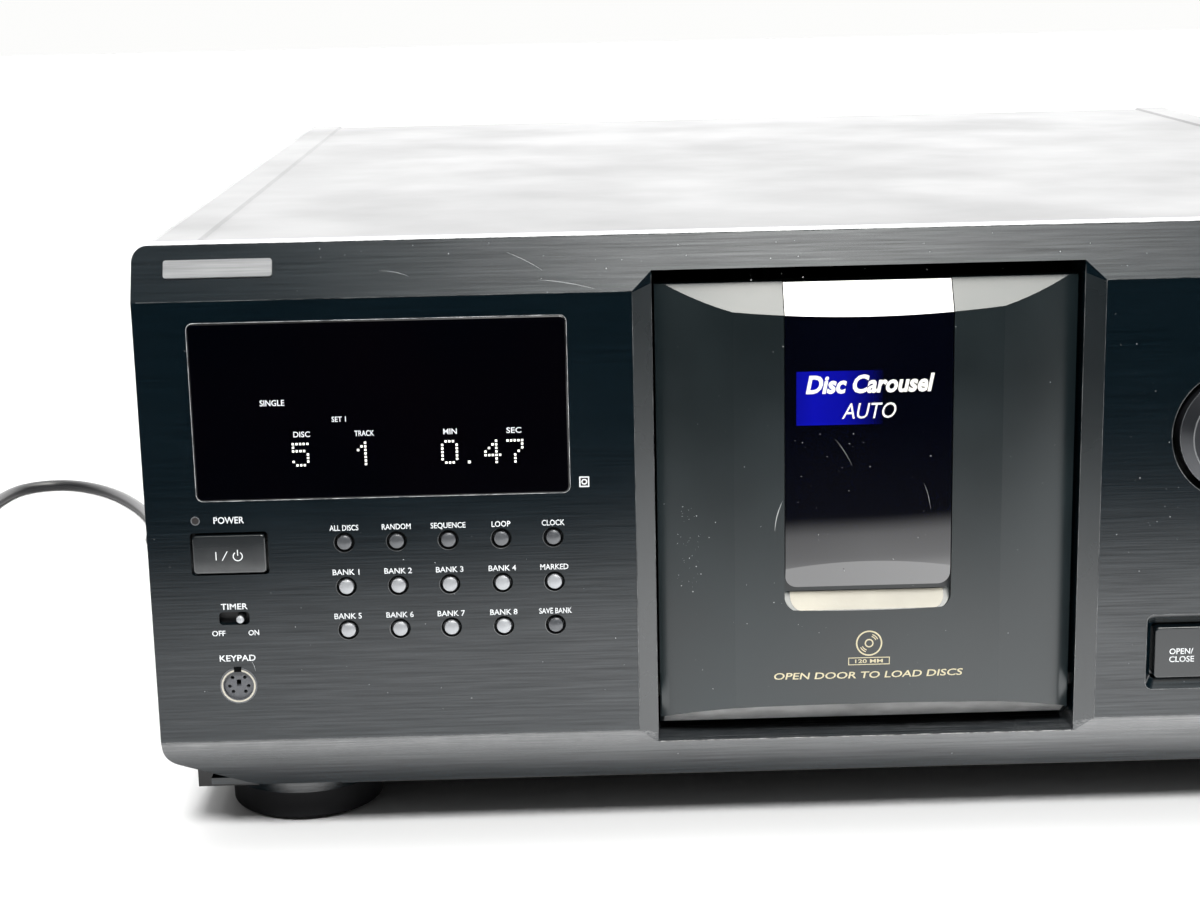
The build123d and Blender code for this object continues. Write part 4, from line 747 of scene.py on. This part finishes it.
# ---- print and wear on the door ----
def door_print():
    """The blue patch and the words on the window, and the gold words and disc mark under it."""
    patch, words, gold = Gather(), Gather(), Gather()
    across, up = np.meshgrid(np.linspace(-21.5, 4.2, 15), (130.4, 146.6))
    flat = np.column_stack([across.ravel(), up.ravel()])
    patch.add(laid(flat, door_face, 0.03), grid_faces(2, 15))
    patch.piece("window_patch", "patch_blue", "door", smooth=True)
    write(words, "Disc Carousel", 0.3, 142.6, 5.0, 37.0, door_face, 0.07, 0.035, 0.2)
    write(words, "AUTO", 0.2, 134.5, 4.6, 15.6, door_face, 0.07, 0.0, 0.2)
    words.piece("window_words", "ink_cream", "door")
    laying = {"surface": door_face, "lift": 0.05}
    write(gold, "OPEN DOOR TO LOAD DISCS", 0.3, 52.6, 2.0, 57.4, slant=0.2, **laying)
    ring(gold, *DOOR_MARK, 4.0, 3.55, steps=40, **laying)
    ring(gold, *DOOR_MARK, 1.35, 0.95, **laying)
    for start in (25, 205):
        ring(gold, *DOOR_MARK, 3.0, 2.7, start, start + 45, steps=8, **laying)
        ring(gold, *DOOR_MARK, 2.4, 2.1, start, start + 45, steps=8, **laying)
    box_frame(gold, -5.9, 6.7, 55.75, 58.15, 0.25, **laying)
    write(gold, "120 MM", 0.4, 56.95, 1.1, 8.4, **laying)
    gold.piece("door_gold_print", "ink_gold", "door")


def chin_sheen():
    """Painted sheen on the door's chin: the slope y = (43.5 - z) / 0.7 from the door's face down to y 11.5.
    """
    sheen, lower_back = Gather(), 11.5
    x = np.linspace(-61.5, 61.5, 31)
    back = door_face(x, x) + 0.05
    rows = [np.column_stack([x, FACE_Y + y - 0.03, 43.5 - 0.7 * y - 0.03])
            for y in (back, back + (lower_back - back) * 0.5, np.full_like(x, lower_back))]
    sheen.add(np.concatenate(rows), grid_faces(3, len(x), flipped=True))
    sheen.piece("chin_sheen", "chin_painted_sheen", "door", smooth=True)


def mitre_sheen():
    """Painted sheen on the slopes at both sides of the recess, a lighter copy of the panel's black: 69.3 from
    the middle at the face, 63.8 at 2.54 behind it.
    """
    for side, name in ((-1, "mitre_left"), (1, "mitre_right")):
        slope = Gather()
        outer, inner = side * 69.3, side * 63.8
        corners = [(outer, 0.02, 37.2), (inner, 2.54, 35.0), (inner, 2.54, 173.6), (outer, 0.02, 171.4)]
        points = [(x, FACE_Y + y - 0.05, z) for x, y, z in corners]
        slope.add(points, [(0, 1, 2, 3) if side < 0 else (3, 2, 1, 0)])
        slope.piece(name, "mitre_painted_sheen", "case")


def ledge_sheen():
    """Painted highlight on the ledge under the door's window: the lower half of a rounded outline, laid on
    the slope y = 0.2 + 4.1 (z - 73.2) / 5.2 up to z 78.2."""
    ledge, half_width, middle_z, top_z = Gather(), 23.2, 76.0, 78.2
    loop = rounded_loop(0.0, middle_z, 2 * half_width, 12.0, 3.2, 8)
    lower = loop[loop[:, 1] < middle_z]
    outline = np.concatenate([[(half_width, top_z)], lower[::-1], [(-half_width, top_z)]])
    z = np.clip(73.3 + (outline[:, 1] - outline[:, 1].min()) * 1.1, 73.25, top_z)
    y = 0.2 + (z - 73.2) * 4.1 / 5.2
    points = np.column_stack([outline[:, 0], FACE_Y + y - 0.03, z + 0.03])
    ledge.add(points, [tuple(reversed(range(len(points))))])
    ledge.piece("ledge_sheen", "ledge_painted_highlight", "door")


def hairline(gather, x0, z0, x1, z1, width, surface, bow=0.0, lift=0.02):
    """A thin tapering scratch from one point to another, bowed to one side by 4 t (1 - t) bow, its width
    0.15 + 0.85 sin(pi t) of the full one."""
    t = np.linspace(0, 1, 9)
    along = np.array([x1 - x0, z1 - z0])
    across = np.array([-along[1], along[0]]) / np.hypot(*along)
    middle = np.array([x0, z0]) + t[:, None] * along + (4 * t * (1 - t) * bow)[:, None] * across
    half = (0.15 + 0.85 * np.sin(np.pi * t))[:, None] * across * width / 2
    flat = np.concatenate([middle - half, middle + half])
    gather.add(laid(flat, surface, lift), grid_faces(2, len(t)))


def specks(gather, seed, x0, x1, z0, z1, number, surface, lift=0.02):
    """Small flakes of dust at random places, each a six-sided spot of radius (0.06 + 0.16 u^3) v, with u from
    0 to 1 for the flake and v from 0.5 to 1.2 for each of its corners."""
    chance = np.random.default_rng(seed)
    centres = np.column_stack([chance.uniform(x0, x1, number), chance.uniform(z0, z1, number)])
    sizes = 0.06 + 0.16 * chance.random(number) ** 3
    for centre, size in zip(centres, sizes):
        angle = np.radians(np.arange(0, 360, 60)) + chance.uniform(0, 1)
        radius = size * chance.uniform(0.5, 1.2, 6)
        outline = centre + np.column_stack([np.cos(angle), np.sin(angle)]) * radius[:, None]
        plate(gather, outline, surface, lift)


def wear():
    """Dust and scratches that show in the picture, on the panel and on the door."""
    panel = Gather()
    specks(panel, 3, -213, -70, 38, 110, 34, main_face)
    specks(panel, 4, 72, 106, 88, 142, 30, main_face)
    specks(panel, 5, 72, 212, 40, 170, 60, main_face)
    specks(panel, 6, -212, 212, 173, 186, 70, top_band)
    hairline(panel, -105.5, 183.2, -95.5, 178.2, 0.12, top_band, 0.3)
    hairline(panel, -96.5, 175.5, -80.0, 172.6, 0.14, top_band, 0.4)
    hairline(panel, -143.0, 179.0, -134.0, 177.2, 0.08, top_band, 0.5)
    hairline(panel, -186.0, 62.0, -185.0, 59.0, 0.1, main_face, 0.1)
    panel.piece("panel_wear", "wear_grey", "case")
    door = Gather()
    specks(door, 7, -57, -50, 78, 106, 46, door_face)
    specks(door, 8, -58, 58, 47, 160, 70, door_face)
    specks(door, 9, -20, 22, 92, 128, 16, door_face)
    hairline(door, -25.6, 107.5, -28.0, 98.2, 0.28, door_face, -0.5)
    hairline(door, 16.5, 112.0, 18.6, 104.0, 0.1, door_face, 0.3)
    hairline(door, -10.0, 126.0, -5.0, 118.0, 0.07, door_face, 0.3)
    door.piece("door_wear", "wear_grey", "door")


# ---- rear ----
def rear_details():
    """Coloured insulating collars of the two jacks, and lettering beside the jacks, mirrored to read from
    behind."""
    for name, z, colour in (("upper", 57.0, "collar_white"), ("lower", 39.0, "collar_red")):
        collar = Gather()
        washer(collar, 150.0, z, 6.7, 4.2, REAR_DEPTH + 2.45, REAR_DEPTH + 3.1)
        collar.piece("jack_collar_" + name, colour, "case")
    ink = Gather()
    write_lines(ink, (("LINE OUT", -151.0, 69.0, 2.4, 14.0), ("L", -139.0, 57.0, 2.4, None),
                      ("R", -139.0, 39.0, 2.4, None), ("LIGHT OUT", -128.0, 36.5, 1.8, 12.0),
                      ("CONTROL", -102.0, 55.5, 1.8, 10.0), ("IN", -108.0, 41.0, 1.8, None),
                      ("OUT", -96.0, 41.0, 1.8, None), ("MAINS", 190.0, 36.0, 2.2, 9.0)))
    points = np.concatenate(ink.points)
    points[:, 0] *= -1
    points[:, 1] = FACE_Y + REAR_DEPTH + 0.04
    new_piece("rear_lettering", points, ink.faces, "ink_white", "case")


def relief_ribs():
    """Ribs round the tapered strain relief: discs that follow its cone, of radius 5.2 - 1.7 (d + 1) / 21 at a
    distance d from the first rib outwards."""
    ribs, profile, number, length = Gather(), [], 7, 19.0
    start = REAR_DEPTH + 4.0
    for k in range(number):
        depth = start + k * length / number
        cone = 5.2 - 1.7 * (depth - start + 1) / 21
        profile += [(cone + 0.05, depth), (cone + 0.6, depth + 0.15),
                    (cone + 0.6, depth + 1.35), (cone + 0.05, depth + 1.5)]
    turned(ribs, -190.0, 24.0, profile, 32)
    ribs.piece("relief_ribs", "cord_vinyl", "case")


panel_lettering()
key_signs()
display_print()
bright_rims()
key_wells()
hinge_skin()
key_caps()
dial_rings()
edge_highlights()
door_print()
chin_sheen()
ledge_sheen()
mitre_sheen()
wear()
rear_details()
relief_ribs()


# ---- mains lead ----
CORD_D, COIL_X, COIL_Y, COIL_TURNS = 5.5, -424.5, 139.25, 5
COIL_OUT_R, COIL_IN_R, COIL_LAYER, COIL_TAIL = 38.5, 22.5, 6.1, 24.0


def lead_route():
    """Control points from the strain relief, beside the case, to the coil, in millimetres."""
    rear_loop = [(-190, 482.25, 24), (-190, 504, 24), (-196, 524, 12), (-212, 540, 4), (-235, 541, 2.75),
                 (-252, 526, 2.75), (-258, 500, 2.75), (-252, 462, 2.75), (-240, 425, 2.75)]
    side_loop = [(-231, 390, 2.75), (-230, 362, 2.75), (-246, 345, 2.75), (-270, 345, 2.75),
                 (-287, 362, 2.75), (-288, 392, 2.75)]
    seen = [(-303, 432, 2.75), (-326, 469, 2.75), (-352, 488, 2.75), (-374, 480, 2.75), (-380, 456, 2.75)]
    to_coil = [(-381, 430, 2.75), (-386, 404, 2.75), (-386, 380, 2.75)]
    points = np.array(rear_loop + side_loop + seen + to_coil, float)
    points[:, 1] += FACE_Y
    return points


def coil_points():
    """Turns that wind inward on the floor and outward above. With t the turn count and h half of all turns,
    radius = inner + (outer - inner) |h - t| / h; the height climbs by one layer c c (3 - 2 c) in the middle
    half turn, and the tail runs off along the last turn."""
    turn = np.linspace(0.0625, COIL_TURNS, 16 * COIL_TURNS)
    half = COIL_TURNS / 2
    radius = COIL_IN_R + (COIL_OUT_R - COIL_IN_R) * np.abs(half - turn) / half
    climb = np.clip((turn - (half - 0.25)) / 0.5, 0.0, 1.0)
    height = CORD_D / 2 + COIL_LAYER * climb * climb * (3 - 2 * climb)
    angle = -2 * np.pi * turn
    rings = np.stack([COIL_X + radius * np.cos(angle), COIL_Y + radius * np.sin(angle), height], axis=1)
    tail = rings[-1] + np.array([[0.6, -COIL_TAIL / 2, 0.0], [0.7, -COIL_TAIL, 0.0]])
    return np.concatenate([rings, tail])


def mains_lead():
    """One smooth NURBS line through the route and the coil, given the lead's round section."""
    points = np.concatenate([lead_route(), coil_points()]) * MM
    curve = bpy.data.curves.new("mains_lead", "CURVE")
    curve.dimensions = "3D"
    spline = curve.splines.new("NURBS")
    spline.points.add(len(points) - 1)
    spline.points.foreach_set("co", np.column_stack([points, np.ones(len(points))]).ravel())
    spline.order_u = 3
    spline.use_endpoint_u = True
    spline.resolution_u = 6
    curve.bevel_depth = CORD_D / 2 * MM
    curve.bevel_resolution = 5
    curve.use_fill_caps = True
    curve.materials.append(MATERIALS["cord_vinyl"])
    lead = bpy.data.objects.new("mains_lead", curve)
    scene.collection.objects.link(lead)
    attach(lead, "case")
    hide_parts("power_cord", "cord_coil")


mains_lead()


# ---- stage: pale floor, plain light; what the gloss mirrors is brighter than white ----
def floor_material():
    """Pale paint. Glossy rays see a tone by y, in bands that fade to dark further in front, as on a small
    table. Left of the middle y is stretched by 1 - 0.5 x about y -0.25, so that the bands run at a slant."""
    material = bpy.data.materials.new("floor_paint")
    material.use_nodes = True
    tree = material.node_tree
    tree.nodes.clear()
    place = axes(tree, "Object")
    stretch = calculate(tree, "MULTIPLY_ADD", calculate(tree, "MINIMUM", place["X"], 0.0), -0.5, 1.0)
    slanted = calculate(tree, "MULTIPLY", calculate(tree, "ADD", place["Y"], 0.25), stretch)
    stops = [(-1.6, 0.0008), (-0.84, 0.0008), (-0.62, 0.004), (-0.59, 0.13), (-0.548, 0.17), (-0.53, 0.27),
             (-0.486, 0.33), (-0.412, 0.4), (-0.355, 0.36), (-0.26, 0.38), (-0.25, 0.5), (-0.2435, 0.58),
             (-0.24, 0.56), (-0.236, 0.3), (-0.232, 0.09), (-0.2225, 0.003), (0.215, 0.005), (0.26, 0.1)]
    tone = ramp(tree, spread(tree, slanted, -1.35, 0.65), [((y + 1.6) / 2.0, value) for y, value in stops])
    sides = ramp(tree, spread(tree, place["X"], -0.5, 0.5), [
        (0.0, 0.5), (0.24, 0.62), (0.4, 0.9), (0.5, 1.0), (0.55, 1.16), (0.62, 1.12), (0.7, 1.0), (1.0, 1.0)])
    clear_x = calculate(tree, "GREATER_THAN", calculate(tree, "ABSOLUTE", place["X"]), 0.225)
    clear_y = calculate(tree, "GREATER_THAN", place["Y"], -0.235)
    beside_case = calculate(tree, "MULTIPLY", clear_x, clear_y)
    shaded = mix(tree, mix(tree, tone, sides, kind="MULTIPLY"), (0.1, 0.1, 0.1), beside_case)
    paint = add(tree, "ShaderNodeBsdfDiffuse", {"Color": (0.93, 0.93, 0.925, 1)})
    mirrored = add(tree, "ShaderNodeEmission", {"Color": shaded, "Strength": 8.0})
    glossy = add(tree, "ShaderNodeLightPath").outputs["Is Glossy Ray"]
    surface = mix_shaders(tree, glossy, paint.outputs["BSDF"], mirrored.outputs["Emission"])
    add(tree, "ShaderNodeOutputMaterial", {"Surface": surface})
    return material


def build_floor():
    """A flat square of 12 m at z 0."""
    mesh = bpy.data.meshes.new("floor")
    mesh.from_pydata([(-6, -6, 0), (6, -6, 0), (6, 6, 0), (-6, 6, 0)], [], [(0, 1, 2, 3)])
    mesh.materials.append(floor_material())
    floor = bpy.data.objects.new("floor", mesh)
    scene.collection.objects.link(floor)


def build_world():
    """White for the camera, a soft fill from above, and for reflections a bright band about 50 to 75 degrees
    up, only ahead of the set, brightest just right of its middle and faint at its left; behind the set a dim
    even light."""
    world = bpy.data.worlds.new("studio")
    scene.world = world
    world.use_nodes = True
    tree = world.node_tree
    tree.nodes.clear()
    direction = axes(tree, "Generated")
    up = ramp(tree, direction["Z"], [
        (0.0, (0.0004, 0.0007, 0.001)), (0.3, (0.005, 0.0075, 0.008)), (0.5, (0.03, 0.031, 0.032)),
        (0.6, (0.19, 0.191, 0.187)), (0.72, (0.28, 0.28, 0.274)), (0.76, (0.4, 0.4, 0.39)),
        (0.785, (0.85, 0.84, 0.79)), (0.9, (1.0, 0.99, 0.93)), (0.96, (0.95, 0.94, 0.89)),
        (1.0, (0.4, 0.4, 0.4))])
    sides = ramp(tree, spread(tree, direction["X"], -1.0, 1.0), [
        (0.0, 0.04), (0.41, 0.05), (0.45, 0.08), (0.485, 0.38), (0.508, 0.45), (0.522, 1.0), (0.565, 1.0),
        (0.6, 0.72), (0.65, 0.33), (1.0, 0.3)])
    ahead = ramp(tree, direction["Y"], [(0.0, 1.0), (0.16, 0.03), (1.0, 0.03)])
    behind = ramp(tree, direction["Y"], [(0.0, 0.0), (0.1, 0.007), (0.4, 0.1), (1.0, 0.111)])
    window_light = mix(tree, mix(tree, up, sides, kind="MULTIPLY"), ahead, kind="MULTIPLY")
    mirrored = mix(tree, window_light, behind, kind="LIGHTEN")
    overhead = ramp(tree, direction["Z"], [(0.0, 0.0), (0.25, 0.06), (0.45, 0.3), (0.7, 0.75), (1.0, 1.0)])
    reflected, fill, backdrop = (
        add(tree, "ShaderNodeBackground", {"Color": colour, "Strength": strength}).outputs["Background"]
        for colour, strength in ((mirrored, 28.0), (overhead, 0.75), ((0.98, 0.98, 0.97, 1), 1.0)))
    rays = add(tree, "ShaderNodeLightPath").outputs
    unseen = mix_shaders(tree, rays["Is Glossy Ray"], fill, reflected)
    surface = mix_shaders(tree, rays["Is Camera Ray"], unseen, backdrop)
    add(tree, "ShaderNodeOutputWorld", {"Surface": surface})


def soft_light(name, kind, place, target, size, power):
    """A round lamp, or daylight from afar, that isn't seen as a spot in the glossy surfaces."""
    data = bpy.data.lights.new(name, kind)
    data.energy = power
    if kind == "SUN":
        data.angle = size
    else:
        data.shape, data.size = "DISK", size
    lamp = bpy.data.objects.new(name, data)
    aim = (Vector(target) - Vector(place)).to_track_quat("-Z", "Y")
    lamp.matrix_world = Matrix.Translation(place) @ aim.to_matrix().to_4x4()
    lamp.visible_glossy = False
    scene.collection.objects.link(lamp)


build_floor()
build_world()
soft_light("overhead", "AREA", (-0.3, 0.1, 1.9), (0, 0, 0), 1.6, 10)
soft_light("front_daylight", "SUN", (-0.1, -1.7, 1.9), (0, 0, 0), 0.25, 3.3)
